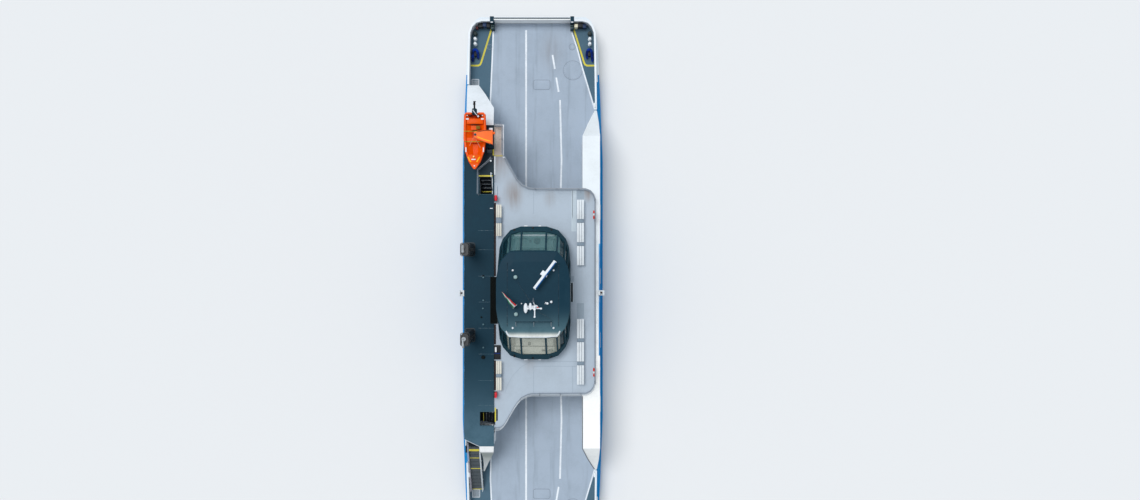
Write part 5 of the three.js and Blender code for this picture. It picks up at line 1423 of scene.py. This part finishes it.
# %% Wheelhouse roof paint
def make_wheelhouse_paint():
    finish = Finish("wheelhouse roof slate")
    x, y, z = finish.xyz()
    # Painted sheen: paler towards the stern for the sky that the curved plate reflects.
    fade_and_sheen = finish.math("POWER", finish.zone(y, 0.2, -3.3), 2.5)
    aside = finish.math("ABSOLUTE", finish.math("SUBTRACT", x, WHEELHOUSE_X * MODEL))
    # Painted highlight: a near-white band along the rolled stern edge.
    edge = finish.math("POWER", finish.zone(y, -2.72, -3.22), 2.0)
    lip = finish.math("MULTIPLY", edge, finish.zone(aside, 2.1, 1.9))
    colour = finish.mix(lip, finish.mix(fade_and_sheen, DARK_SLATE, (82, 114, 124)), (236, 236, 228))
    return finish.weather(colour, SLATE_DIRT, SLATE_EDGE, 0.5, 0.12, patch=1.6)


dress(make_wheelhouse_paint(), "wheelhouse_roof")
dark_seam = painted("dark seam", (10, 34, 48), (30, 54, 66), SALT, 0.6, 0.1)
make_blocks("wheelhouse_seams", dark_seam, [(around(x, 0.015), (-2.45, 2.45), above(WHEELHOUSE_TOP, -0.003,
    0.006)) for x in (-1.57, 2.36)], 0.002)
half_edge = [(2.06, -2.8, 9.1), (1.96, -3.04, 9.05), (1.8, -3.2, 9.03), (0.96, -3.27, 9.03)]
rolled = [(WHEELHOUSE_X - x, y, z) for x, y, z in half_edge]
rolled += [(WHEELHOUSE_X + x, y, z) for x, y, z in half_edge[::-1]]
# The white tube along the stern edge stands in for that edge's highlight: a painted highlight.
make_tubes("rolled_edge_highlight", bench_white, 0.06, [rolled], 12)
print("wheelhouse roof done")

# %% [markdown]
# Small gear stands on the roof: four white lamps near the corners, two mushroom vents, two domes of
# satellite receivers, and a low rail across the stern end on three raked stays. Window washers sit on the
# rim.

# %% Roof gear
ON_ROOF = WHEELHOUSE_TOP - 0.01
mushroom_teal = painted("mushroom vent", (150, 176, 176), (110, 130, 132), SALT, gloss=0.3)
LAMP = [(0.07, 0), (0.075, 0.04), (0.05, 0.05), (0.08, 0.08), (0.08, 0.12), (0.05, 0.16), (0, 0.17)]
MUSHROOM = [(0.09, 0), (0.09, 0.16), (0.15, 0.16), (0.15, 0.19), (0.12, 0.24), (0.05, 0.27)]
DOME = [(0.06, 0), (0.06, 0.05), (0.09, 0.07), (0.098, 0.11), (0.08, 0.17), (0.04, 0.2), (0, 0.205)]
make_turned("roof_lamps", antenna_white, LAMP, [(x, y, 9.12) for x in (-1.146, 1.977)
    for y in (1.85, -2.56)])
make_turned("roof_mushrooms", mushroom_teal, MUSHROOM, [(-0.93, 1.33, ON_ROOF), (-0.89, -1.5, ON_ROOF)], 28)
make_turned("receiver_domes", antenna_white, DOME, [(1.5, -0.68, ON_ROOF), (1.8, -0.56, ON_ROOF)], 28)
make_turned("receiver_stub", antenna_white, [(r * 0.55, h) for r, h in DOME], [(-0.47, -0.69, ON_ROOF)])
make_tubes("receiver_arm", antenna_white, 0.035, [[(1.5, -0.68, 9.3), (1.36, -0.6, 9.32),
    (1.33, -0.72, 9.2)]])
STAYS_X = (-0.9, 0.47, 1.79)
make_tubes("stern_roof_rail", dark_seam, 0.022, [[(-0.93, -2.07, 9.46), (1.82, -2.07, 9.46)],
    *[[(x, -2.07, 9.46), (x, -2.07, WHEELHOUSE_TOP - 0.02)] for x in STAYS_X]])
make_tubes("stern_roof_stays", rail_steel, 0.018, [[(x, -2.1, 9.44), (x, -2.5, 9.12)] for x in STAYS_X])
BRACKETS = ((-1.17, 4.98), (0.29, 5.13), (1.76, 4.98))
make_blocks("rim_brackets", motor_black, [(around(x, 0.07), (end * (y - 0.16), end * (y + 0.1)),
    (6.92, 7.1)) for x, y in BRACKETS for end in (1, -1)], 0.02)
make_blocks("rim_lamps", antenna_white, [((x, x + wide), (end * 5.24, end * 5.36), (6.6, 6.74))
    for end in (1, -1) for x, wide in ((-0.42, 0.28), (0.72, 0.2))], 0.02)
print("roof gear done")

# %% [markdown]
# ## Radar and mast
# The scanner is a white bar with a blue radiating face on one long side. It turns, so its face and end caps
# ride on the radar's body, while the gearbox stays with the roof. The mast carries lamps, a horn, a sleeve
# for a whip aerial and thin wire stays.

# %% Radar
antenna_blue = make_laminate("antenna blue", (0, 86, 150), (14, 60, 104))
HEADING = Matrix.Translation((1.3, 1.54, 0)) @ Matrix.Rotation(math.radians(-37), 4, "Z")
FACE = [((0.088, 0.165), (-1.27, 1.27), (9.825, 9.985))]
CAPS = [((-0.098, 0.168), (end * 1.26, end * 1.31), (9.815, 9.99)) for end in (1, -1)]
CAPS.append(((-0.05, 0.05), (-0.16, 0.16), (9.97, 10.005)))
GEARBOX = [((-0.3, 0.08), (-0.18, 0.2), (9.5, 9.74)), ((0.05, 0.24), (-0.1, 0.06), (9.55, 9.68))]
for name, blocks, finish, body, bevel in (("radar_face", FACE, antenna_blue, "radar", 0.008),
        ("radar_caps", CAPS, antenna_white, "radar", 0.01), ("radar_gearbox", GEARBOX, antenna_white,
        "ship", 0.03)):
    make(name, finish, *[(add_moved, HEADING, add_block, *block) for block in blocks], body=body,
        bevel=bevel)
print("radar dressed")

# %% Mast fittings
lamp_glass = make_laminate("lamp glass", (210, 220, 224), (150, 160, 166), 0.15)
MAST_LAMP = [(0.06, 0), (0.07, 0.03), (0.055, 0.05), (0.055, 0.13), (0.07, 0.15), (0, 0.19)]
make_turned("mast_lamps", antenna_white, MAST_LAMP, [(0.1, -0.95, 10.79), (1.08, -0.95, 10.79),
    (0.62, -1.53, 11.24), (0.62, -0.78, 11.24)])
make_turned("mast_top_lamp", lamp_glass, [(r * 1.2, h) for r, h in MAST_LAMP], [(0.62, -0.95, 11.425)])
make_turned("mast_horn", post_grey, [(0.12, 0), (0.1, 0.05), (0.05, 0.12), (0.04, 0.3), (0, 0.31)],
    [(0.45, -0.52, 9.9)], 24, "Y")
SLEEVE = [(0, 0), (0.06, 0.01), (0.09, 0.08), (0.1, 0.28), (0.09, 0.46), (0.05, 0.53), (0, 0.54)]
make_turned("whip_sleeve", antenna_white, SLEEVE, [(0.24, -1.13, 10.0)], axis="Y")
make_tubes("mast_brackets", antenna_white, 0.025, [[(0.24, -0.9, 10.0), (0.6, -0.93, 10.0)],
    [(0.45, -0.5, 9.9), (0.6, -0.88, 9.9)], [(-0.14, -1.02, ON_ROOF), (-0.14, -1.02, 9.45)]])
make_blocks("mast_lamp_red", lifebuoy_red, [((0.76, 0.88), (-0.96, -0.84), (10.6, 10.72))], 0.02)
make_tubes("mast_stays", dark_steel, 0.006, [[(0.62, -0.95, 11.2), (x, y, 9.2)]
    for x, y in ((-0.8, 1.0), (1.9, -2.0))], 6)
print("mast dressed")

# %% [markdown]
# ## Flag
# A plain flag of three stripes flies from a raked staff on the wheelhouse roof. It is thin nylon, so it hangs
# in shallow folds: a grid of points runs out along the wind, sags towards its free end and stays flat along
# the staff. Its stripes are parts of one cloth, so each face takes its finish from its height.

# %% Flag cloth
FLAG_COLOURS = (("green", (0, 150, 84), (0, 96, 54)), ("white", (238, 240, 238), (196, 200, 200)),
    ("red", (236, 28, 26), (160, 16, 20)))
flag_cloths = [make_cover_cloth("flag " + name, colour, dark) for name, colour, dark in FLAG_COLOURS]
HOIST, FLY, CLOTH_THICK = 0.9, 1.57, 0.004
STEPS_OUT, STEPS_UP = 48, 24
FLAG_FOOT = Vector((-1.12, -1.02, 9.62))
DOWNWIND = Vector((-0.58, 0.815, 0))
TOP_LEANS = Vector((0.75, 0.66, 0))


def flag_point(along, up):
    """A point of the cloth, from shares of its length from the staff and of its height from the foot."""
    folds = 0.016 * math.sin(along * 15 + up * 1.6) * min(1.0, along * 4)
    lean = (0.325 * (1 - along) + 0.12) * up
    sag = -0.18 * along ** 2
    out = DOWNWIND * (FLY * 0.955 * along)
    return FLAG_FOOT + out + TOP_LEANS * (lean + folds) + Vector((0, 0, HOIST * 0.965 * up + sag))


def make_flag():
    shape = bmesh.new()
    grids = [add_corners(shape, [[flag_point(i / STEPS_OUT, k / STEPS_UP) + TOP_LEANS * lift
        for k in range(STEPS_UP + 1)] for i in range(STEPS_OUT + 1)]) for lift in (0, CLOTH_THICK)]
    for i in range(STEPS_OUT):
        for k in range(STEPS_UP):
            for grid, turned in zip(grids, (1, -1)):
                corners = (grid[i][k], grid[i + 1][k], grid[i + 1][k + 1], grid[i][k + 1])
                shape.faces.new(corners[::turned]).material_index = 3 * k // STEPS_UP
    front, back = grids
    rim = [(i, 0) for i in range(STEPS_OUT)] + [(STEPS_OUT, k) for k in range(STEPS_UP)]
    rim += [(i, STEPS_UP) for i in range(STEPS_OUT, 0, -1)] + [(0, k) for k in range(STEPS_UP, 0, -1)]
    for (i, k), (j, m) in zip(rim, rim[1:] + rim[:1]):
        face = shape.faces.new((front[j][m], front[i][k], back[i][k], back[j][m]))
        face.material_index = 3 * min(k, m, STEPS_UP - 1) // STEPS_UP
    return make_piece("flag", shape, flag_cloths, smooth=70)


flag = make_flag()
staff_low = FLAG_FOOT + Vector((0.1, 0.06, -0.46))
staff_top = flag_point(0, 1) + TOP_LEANS * 0.07 + Vector((0, 0, 0.12))
make_tubes("flag_staff", rail_pale, 0.018, [[staff_low, FLAG_FOOT + Vector((0.03, -0.01, 0.0)), staff_top]])
make_turned("flag_staff_foot", motor_black, [(0.07, 0), (0.07, 0.02), (0.03, 0.04), (0.03, 0.14),
    (0, 0.15)], [(staff_low.x, staff_low.y, ON_ROOF)])
area = sum(face.area for face in flag.data.polygons) / 2
print("flag area:", round(area, 4), "flat:", round(HOIST * FLY * MODEL ** 2, 4))

# %% [markdown]
# ## Rescue boat
# The boat has a foredeck, an aft deck over the buoyancy box, a darker non-slip floor and a rubbing strake
# along each side. White reflective pads, two bright stripes on the bow, lashing straps and a lifting frame
# are what show best from above. The straps are flat webbing pulled tight from gunwale to gunwale.


# %% Boat decks
def add_slope(shape, outline, at_bow, at_stern, thick):
    """A plate whose top rises evenly from one height at its stern edge to another at its bow edge."""
    stern, bow = max(y for x, y in outline), min(y for x, y in outline)
    for vert in add_plate(shape, outline, -thick, 0):
        vert.co.z += at_stern + (at_bow - at_stern) * (stern - vert.co.y) / (stern - bow)


BOAT_X, BOAT_KEEL = -4.29, 6.34
# y, half width, height of the gunwale over the keel
BOAT_SIDE = [(14.12, 0.82, 0.84), (13.2, 0.86, 0.84), (12.2, 0.87, 0.86), (11.2, 0.74, 0.92),
    (10.4, 0.46, 1.0), (9.97, 0.19, 1.04), (9.79, 0.06, 1.06)]
strake = [[(BOAT_X + side * (half + 0.005), y, BOAT_KEEL + high - 0.09) for y, half, high in BOAT_SIDE]
    for side in (-1, 1)]
make_tubes("boat_strake", make_laminate("strake orange", (216, 74, 0), (120, 44, 10), 0.6), 0.032, strake,
    10)
inner = [(half - 0.24, y) for y, half, high in BOAT_SIDE[:4]] + [(0.42, 10.9)]
outline = [(BOAT_X + x, y) for x, y in inner] + [(BOAT_X - x, y) for x, y in inner[::-1]]
make("boat_floor", make_laminate("boat floor", (206, 58, 0), (150, 46, 8), 0.6), (add_plate, outline, 6.703,
    6.715), bevel=0.004)
FOREDECK = ((0.6, 10.92), (-0.6, 10.92), (-0.43, 10.4), (-0.3, 10.2), (0.3, 10.2), (0.43, 10.4))
AFT_DECK = ((0.64, 13.8), (-0.64, 13.8), (-0.66, 13.37), (0.66, 13.37))
make("boat_decks", boat_orange, (add_slope, [(BOAT_X + x, y) for x, y in FOREDECK], 7.375, 7.3, 0.1),
    (add_slope, [(BOAT_X + x, y) for x, y in AFT_DECK], 7.12, 7.1, 0.06), bevel=0.012)
stripes = [[(BOAT_X + side * x - 0.06, y) for x, y in ((0.47, 10.74), (0.23, 10.33))] for side in (-1, 1)]
make("boat_stripes", make_laminate("stripe yellow", (255, 186, 16), (226, 150, 20), 0.4),
    *[(add_slope, band(stripe, 0.09), 7.368, 7.33, 0.02) for stripe in stripes], bevel=0.003)
print("boat decks done")

# %% Straps
strap_cloth = make_cover_cloth("strap webbing", (206, 186, 60), (128, 116, 40))
STRAP_WIDE, STRAP_THICK = 0.06, 0.006
STRAP_TOP = BOAT_KEEL + 0.875
for name, y, half in (("stern", 12.78, 0.865), ("bow", 11.96, 0.84)):
    over_side = [(half + 0.015, -0.16), (half + 0.012, -0.01), (half - 0.06, 0.004)]
    path = [(-x, STRAP_TOP + up) for x, up in over_side] + [(0, STRAP_TOP - 0.02)]
    path += [(x, STRAP_TOP + up) for x, up in over_side[::-1]]
    section = band(path, STRAP_THICK)
    shape = bmesh.new()
    join_rings(shape, add_corners(shape, [[(BOAT_X + x, edge, z) for x, z in section]
        for edge in around(y, -STRAP_WIDE / 2)]))
    strap = make_piece("boat_strap_" + name, split_faces(shape), strap_cloth)

# %% Pads, gear and lifting frame
pads = [((-4.53, -4.2), (10.49, 10.58), (7.33, 7.4))]
for side in (-1, 1):
    pads.append((around(BOAT_X + side * 0.62, 0.14), (13.7, 13.82), (7.1, 7.145)))
    pads.append((around(BOAT_X + side * 0.6, 0.045), (13.99, 14.06), (7.17, 7.2)))
    pads.append((around(BOAT_X + side * 0.69, 0.045), (11.12, 11.5), (7.24, 7.27)))
make_blocks("boat_pads", antenna_white, pads, 0.012)
frame_pink = painted("lifting frame", (236, 170, 140), (180, 120, 96), RUST, gloss=0.3)
make_tubes("boat_lifting_frame", frame_pink, 0.022, [[(-4.7, 11.62, 7.1), (-4.62, 11.75, 7.35),
    (-4.3, 12.3, 7.62), (-3.98, 11.75, 7.35), (-3.86, 11.5, 7.1)], [(-4.3, 12.3, 7.62),
    (-4.3, 12.2, 6.96)]])
make_blocks("boat_gear", make_laminate("gear brown", (96, 34, 12), (60, 30, 20), 0.6),
    [((-4.62, -3.96), (13.26, 13.32), (7.12, 7.3)), ((-4.78, -4.58), (13.98, 14.14), (6.76, 7.1)),
    ((-3.98, -3.78), (13.98, 14.14), (6.76, 7.1)), ((-4.05, -3.95), (12.92, 12.96), (7.14, 7.22))], 0.015)
make_blocks("boat_locker", make_laminate("locker olive", (132, 100, 30), (90, 72, 30), 0.6),
    [((-4.18, -3.86), (12.93, 13.2), (7.14, 7.26))], 0.03)
POST = [(0.1, 0), (0.1, 0.01), (0.05, 0.02), (0.045, 0.1), (0.07, 0.11), (0.07, 0.14), (0, 0.15)]
BOW_EYE = [(0.05, 0), (0.05, 0.02), (0.02, 0.03), (0.02, 0.06), (0, 0.065)]
BOAT_WHEEL = [(0.03, 0), (0.03, 0.02), (0.14, 0.03), (0.16, 0.045), (0.14, 0.06), (0.03, 0.05), (0, 0.06)]
make_turned("boat_post", bronze, POST, [(-4.35, 10.73, 7.3)])
make_turned("boat_bow_eye", antenna_white, BOW_EYE, [(-4.3, 10.02, 7.37)])
make_turned("boat_wheel", motor_black, BOAT_WHEEL, [(-4.29, 12.84, 7.0)], axis="Y")
print("pads:", len(pads))

# %% [markdown]
# The outboard motor has a moulded cowl of two halves with a white flash, and a plate over its propeller. It
# is tilted up, so its leg points aft.

# %% Outboard motor
make("motor_cowl", make_laminate("motor teal", (14, 42, 52), (40, 66, 74), 0.3),
    (add_plate, rounded((-4.48, -4.1), (14.0, 14.54), 0.1), 7.22, 7.5), (add_plate, rounded((-4.45, -4.13),
    (14.04, 14.5), 0.09), 7.5, 7.57), bevel=0.03)
make("motor_flash", antenna_white, (add_stripe, [(-4.4, 14.4), (-4.2, 14.12), (-4.06, 13.98)], 0.045, 7.565,
    7.58), (add_stripe, [(-4.06, 14.0), (-3.97, 13.9)], 0.12, 7.2, 7.3), bevel=0.006)
BLADE = [(0.02, -0.02), (0.13, -0.05), (0.14, 0.03), (0.02, 0.02)]
PITCH = Matrix.Rotation(math.radians(60), 4, "X")
blades = [(add_moved, Matrix.Translation((-4.35, 15.16, 7.0)) @ Matrix.Rotation(turn, 4, "Y") @ PITCH,
    add_plate, BLADE, -0.008, 0.008) for turn in turns(3)]
leg_plate = [(-4.46, 14.9), (-4.26, 14.9), (-4.28, 15.2), (-4.42, 15.2)]
make("motor_leg_parts", motor_black, (add_plate, leg_plate, 6.93, 6.955), *blades)
print("blades:", len(blades))

# %% [markdown]
# ## Davit and boarding platform
# The davit's jib carries a yellow warning stripe, its column bands, a hand pump and hoses. All of these
# turn with it. On the deck beside it stand a white box and a reel. The platform's raised edge is white, and
# a yellow line warns where the open side begins.

# %% Davit
make("davit_stripe", make_laminate("davit yellow", (255, 184, 20), (220, 150, 20), 0.4),
    (add_stripe, [(-3.95, 12.17), (-3.42, 11.96), (-2.92, 11.82)], 0.07, 8.3, 8.396), body="davit")
make_turned("davit_bands", davit_orange, [(0.185, 0), (0.185, 0.06)],
    [(-3.22, 12.2, z) for z in (6.85, 7.4, 7.85)], 28, body="davit")
make_blocks("davit_pump", winch_grey, [((-3.12, -2.98), (11.66, 11.98), (7.6, 8.04)), ((-2.95, -2.86),
    (11.7, 11.8), (7.9, 8.04)), ((-3.3, -3.2), (11.72, 11.82), (7.86, 8.04))], 0.02, body="davit")
make_tubes("davit_pipes", motor_black, 0.018, [[(-3.06, 11.9, 7.62), (-3.08, 12.0, 7.3), (-3.1, 12.1, 7.1)],
    [(-4.12, 12.52, 8.33), (-3.4, 12.66, 8.43), (-2.9, 12.66, 8.43)]], body="davit")
make_turned("davit_sheave_cap", dark_steel, [(0.1, 0), (0.1, 0.02), (0.03, 0.03), (0.03, 0.05), (0, 0.055)],
    [(-4.12, 12.35, 8.35)], body="davit")
make_blocks("davit_box", antenna_white, [((-3.25, -2.95), (13.0, 13.16), (6.321, 6.44))], 0.015)
REEL = [(0.16, 0), (0.16, 0.02), (0.08, 0.03), (0.08, 0.3), (0.16, 0.31), (0.16, 0.33)]
make("hose_reel", post_grey, (add_lathe, REEL, (-3.4, 11.36, 6.24), 24, "X"), (add_block, (-3.42, -3.04),
    (11.2, 11.5), (6.03, 6.07)), bevel=0.004)
print("davit dressed")

# %% Boarding platform
make_blocks("platform_edges", ship_white, [((-2.17, -2.085), (11.0, 13.49), (6.018, 6.032)),
    ((-2.89, -2.17), (13.41, 13.49), (6.018, 6.032))], 0.004)
make_blocks("platform_lines", line_yellow, [((-2.98, -2.895), (11.0, 11.5), above(ROOF_TOP, 0.001, 0.014)),
    ((-2.88, -2.2), (10.95, 11.015), above(UPPER_DECK, 0.004, 0.016))], 0.003)
make_blocks("platform_treads", platform_beige, [((-2.82, -2.22), y, above(UPPER_DECK, 0.004, 0.012))
    for y in ((11.2, 12.15), (12.3, 13.25))], 0.003)
print("platform dressed")

# %% [markdown]
# ## Side paint
# Along the middle of each side the blue of the belt rises in a wave over the white plates. From above only
# its crest shows, where it laps over the casing's top edge. The wave is paint, so it is a mask from the
# place along the hull and the height, inside the same white finish as the rest of the side.

# %% Side paint
WAVE_STERN, WAVE_BOW, WAVE_RUN = -8.4, 7.2, 3.8


def make_side_paint(name, white, brightened, dirt, outside, height):
    """White paint, painted brighter aft as painted light where these faces get less sky, with a blue wave of
    some height on the faces farther out than `outside`.
    """
    finish = Finish(name)
    x, y, z = finish.xyz()
    rise = finish.zone(y, WAVE_BOW, WAVE_BOW - WAVE_RUN)
    crest = finish.math("MULTIPLY", rise, finish.zone(y, WAVE_STERN, WAVE_STERN + WAVE_RUN))
    under = finish.zone(finish.math("MULTIPLY_ADD", crest, -height * MODEL, z), 1.2, 1.1)
    far_out = finish.zone(finish.math("ABSOLUTE", x), outside, outside + 0.03)
    wave = finish.math("MULTIPLY", under, far_out)
    blue = finish.mix(finish.zone(y, 3.0, 4.2), (0, 128, 196), (84, 182, 232))
    # Painted light: the white is painted brighter towards the stern.
    plain = finish.mix(finish.zone(y, 2.0, -6.0), white, brightened)
    return finish.weather(finish.mix(wave, plain, blue), dirt, RUSTY_PRIMER, 0.45, 0.4, amount=0.3)


def make_stern_fairing_paint():
    """Painted light and shade: nearly white at the top as a painted highlight, then grey-beige painted shade
    in the house's shade, lighter again lower down.
    """
    finish = Finish("stern fairing paint")
    x, y, z = finish.xyz()
    # Painted highlight above, painted shade below it, then lighter lower down.
    lit_and_shaded = finish.mix(finish.zone(y, -12.8, -13.3), (255, 255, 254), (160, 166, 160))
    brightened = finish.mix(finish.zone(y, -13.6, -14.7), lit_and_shaded, (196, 200, 200))
    return finish.weather(brightened, (186, 186, 180), RUST, 0.5, amount=0.3, patch=1.4)


casing_white = make_side_paint("casing paint", (234, 240, 244), (255, 255, 252), (200, 202, 200), 5.53, 5.0)
house_white = make_side_paint("house paint", (232, 238, 243), (236, 240, 243), (176, 180, 180), 5.2, 3.1)
dress(casing_white, "starboard_casing")
dress(house_white, "house_casing", "lounge_walls")
dress(make_stern_fairing_paint(), "fairing_stern")
print("side paints done")

# %% [markdown]
# ## Lounge windows
# Each pane is bedded in a black rubber frame in the steel wall, with one bar at its middle. The frame leans
# with the wall outside and stands upright inside. One window is modelled at the stern end, and the row tree
# makes nine of it.

# %% Window frames
HOUSE_LEAN, CASING_LEAN = 0.43 / 4.7, 0.17 / 4.6


def house_side(z):
    return -5.72 + HOUSE_LEAN * (z - CAR_DECK)


def casing_side(z):
    return 5.82 - CASING_LEAN * (z - CAR_DECK)


WINDOW_STEP, WINDOW_Z, WINDOW_COUNT = 2.72, 5.0, 9
FIRST_WINDOW = 0.525 - 4 * WINDOW_STEP
ALONG = Vector((0, 1, 0))
for name, wall, lean, depth in (("outside", house_side(WINDOW_Z), HOUSE_LEAN, (-0.035, 0.012)),
        ("inside", -2.95, 0.0, (-0.012, 0.03))):
    up = Vector((lean, 0, 1)).normalized()
    turn = Matrix((ALONG, up, ALONG.cross(up))).transposed().to_4x4()
    turn = Matrix.Translation((wall, FIRST_WINDOW, WINDOW_Z)) @ turn
    make_row("window_frames_" + name, seat_black, WINDOW_COUNT, (0, WINDOW_STEP, 0), (add_moved, turn,
        add_loop, rounded((-1.08, 1.08), (-0.48, 0.48), 0.07), 0.075, *depth), (add_moved, turn, add_block,
        (-0.03, 0.03), (-0.45, 0.45), depth), bevel=0.006)
print("window frames:", 2 * WINDOW_COUNT)

# %% [markdown]
# ## Doors
# Each steel door has two hinges, and a dark pane, a kick plate and a lever on both faces. All of it turns
# with the door, so each set rides on its door's body.


# %% Door fittings
def fit_door(body, faces, hinge, lock, foot, along):
    """Fittings on both faces of a leaf. `faces` holds each face's place and which way it looks."""
    inward = 1 if hinge > lock else -1
    near, far = sorted((hinge - inward * 0.08, lock + inward * 0.14))
    grip = lock + inward * 0.08
    kick_plate = ((near, far), (0.03, 0.26), (-0.002, 0.006))
    lock_plate = (around(grip, 0.025), (0.88, 1.1), (-0.002, 0.012))
    stem = (around(grip, 0.012), (1.0, 1.03), (0.01, 0.055))
    lever = ((grip - 0.012, grip + inward * 0.12), (1.0, 1.03), (0.04, 0.06))
    pane = ((near + 0.06, far - 0.06), (1.12, 1.72), (-0.002, 0.012))

    order = 1 if along == "Y" else -1

    def fit(*parts):
        """Blocks on both faces, from their ranges across the leaf, up it and out of its face."""
        return [(add_block, *([face + out * d for d in depth], across)[::order], above(foot, *up))
            for face, out in faces for across, up, depth in parts]

    hinges = [(add_lathe, [(0.018, 0), (0.018, 0.13)], (*(faces[0][0], hinge)[::order], foot + up), 12)
        for up in (0.25, 1.6)]
    make(body + "_fittings", dark_steel, *fit(kick_plate, lock_plate, stem, lever), *hinges, body=body,
        bevel=0.003)
    make(body + "_pane", seat_black, *fit(pane), body=body, bevel=0.01)


fit_door("lounge_door", ((-11.76, -1), (-11.7, 1)), -4.34, -5.1, 3.72, "X")
fit_door("casing_door", ((-3.62, 1), (-3.68, -1)), 8.04, 8.88, 1.34, "Y")
fit_door("wheelhouse_door", ((3.26, 1), (3.2, -1)), -0.16, 0.68, 5.92, "Y")
print("doors fitted: 3")

# %% [markdown]
# ## Stern landing and outside stair
# The stair from the car deck ends on a landing beside the lounge door. A yellow line marks its edge, a dark
# mat covers its floor, and a white plate closes it towards the water. Each handrail is one bent pipe, with a
# second one below it, on straight posts.

# %% Stern landing
LANDING = 3.7
mat_dark = painted("landing mat", (22, 32, 38), (34, 44, 50), SALT, 0.9, 0.1)
make_blocks("landing_line", line_yellow, [((-5.2, -4.24), (-13.37, -13.2), above(LANDING, 0.001, 0.013))],
    0.003)
make_blocks("landing_sill", tread_grey, [((-5.1, -4.4), (-13.07, -13.02), above(LANDING, 0.001, 0.02))],
    0.004)
mat = [(-5.18, -13.0), (-4.12, -13.0), (-4.12, -12.4), (-5.26, -11.87), (-5.26, -12.4)]
make("landing_mat", mat_dark, (add_plate, mat, *above(LANDING, 0.002, 0.014)), bevel=0.003)
make_blocks("landing_bulwark", bench_white, [((-5.37, -5.27), (-12.64, -11.85), (LANDING - 0.03, 4.8))],
    0.015)
# Painted shadow: a dark sheet on the car deck's rim beside the stair, where the gap there lies in shade.
make_blocks("rim_shadow_cover", mat_dark, [((-5.8, -5.5), (-14.1, -12.45), above(CAR_DECK, 0.004, 0.016))], 0.003)
rail_lilac = painted("handrail lilac", (182, 178, 188), (140, 138, 146), RUST, gloss=0.3)


def stair_line(y):
    """Height of the outside stair's side plates."""
    return LANDING if y > -13.36 else 1.38 + (y + 17.2) * 0.597


for name, x, finish in (("port", -5.19, rail_lilac), ("starboard", -4.2, bench_white)):
    bars = [[(x, y, stair_line(y) + up) for y in (-12.5, -13.3, -17.15)] for up in (1.0, 0.5)]
    posts = [[(x, y, stair_line(y) - 0.04), (x, y, stair_line(y) + 1.0)]
        for y in (-12.52, -13.34, -14.3, -15.26, -16.2, -17.13)]
    make_tubes("stair_rail_" + name, finish, 0.022, bars + posts)
print("landing done")

# %% [markdown]
# ## Sides and hull
# The sides are welded from plates: thin cover strips mark the joints, and louvres let air into the engine
# rooms. Blocks on the bulwarks' caps guide the mooring ropes, and under water zinc anodes protect the
# steel.

# %% Sides and hull
LOUVRE_Y, LOUVRE_LONG, LOUVRE_LOW, LOUVRE_HIGH = -10.2, 1.2, 2.3, 0.66
FIRST_JOINT = 1.885 - 5 * WINDOW_STEP
for side, side_name, wall, top, paint in ((-1, "port", house_side, 5.9, house_white), (1, "starboard",
        casing_side, 5.82, casing_white)):
    x = wall(LOUVRE_LOW + 0.33)
    edge, long = (x - side * 0.04, x + side * 0.045), above(LOUVRE_Y, 0, LOUVRE_LONG)
    high = above(LOUVRE_LOW, 0, LOUVRE_HIGH)
    louvre = [(add_block, edge, long, around(z, 0.03)) for z in high]
    louvre += [(add_block, edge, around(y, 0.03), high) for y in long]
    louvre += [(add_block, (x - side * 0.04, x + side * 0.035), long, above(LOUVRE_LOW + 0.08 + 0.12 * slat,
        0, 0.05)) for slat in range(5)]
    make_row("louvres_" + side_name, vent_white, 4, (0, 5.4, 0), *louvre, bevel=0.006)
    make_row("plate_joints_" + side_name, paint, 10, (0, WINDOW_STEP, 0),
        (add_tube, [(wall(z), FIRST_JOINT, z) for z in (1.4, top)], 0.014, 6))
    make_row("anodes_" + side_name, exhaust_grey, 8, (0, 3.7, 0), (add_block, around(side * 2.2, 0.09),
        (-13.3, -12.7), (-1.45, -1.39)), bevel=0.02)
make_blocks("bulwark_chocks", bollard_white, [(around(side * 5.33, 0.09), around(end * 15.7, 0.2),
    above(BULWARK_TOP, -0.01, 0.09)) for end, side, corner in CORNERS], 0.03)
make_tubes("casing_cable_pipe", post_grey, 0.032, [[(4.235, -8.4, 5.91), (4.235, -12.6, 5.91),
    (4.71, -13.92, 4.16), (5.3, -15.2, 2.5)]])
print("sides done")
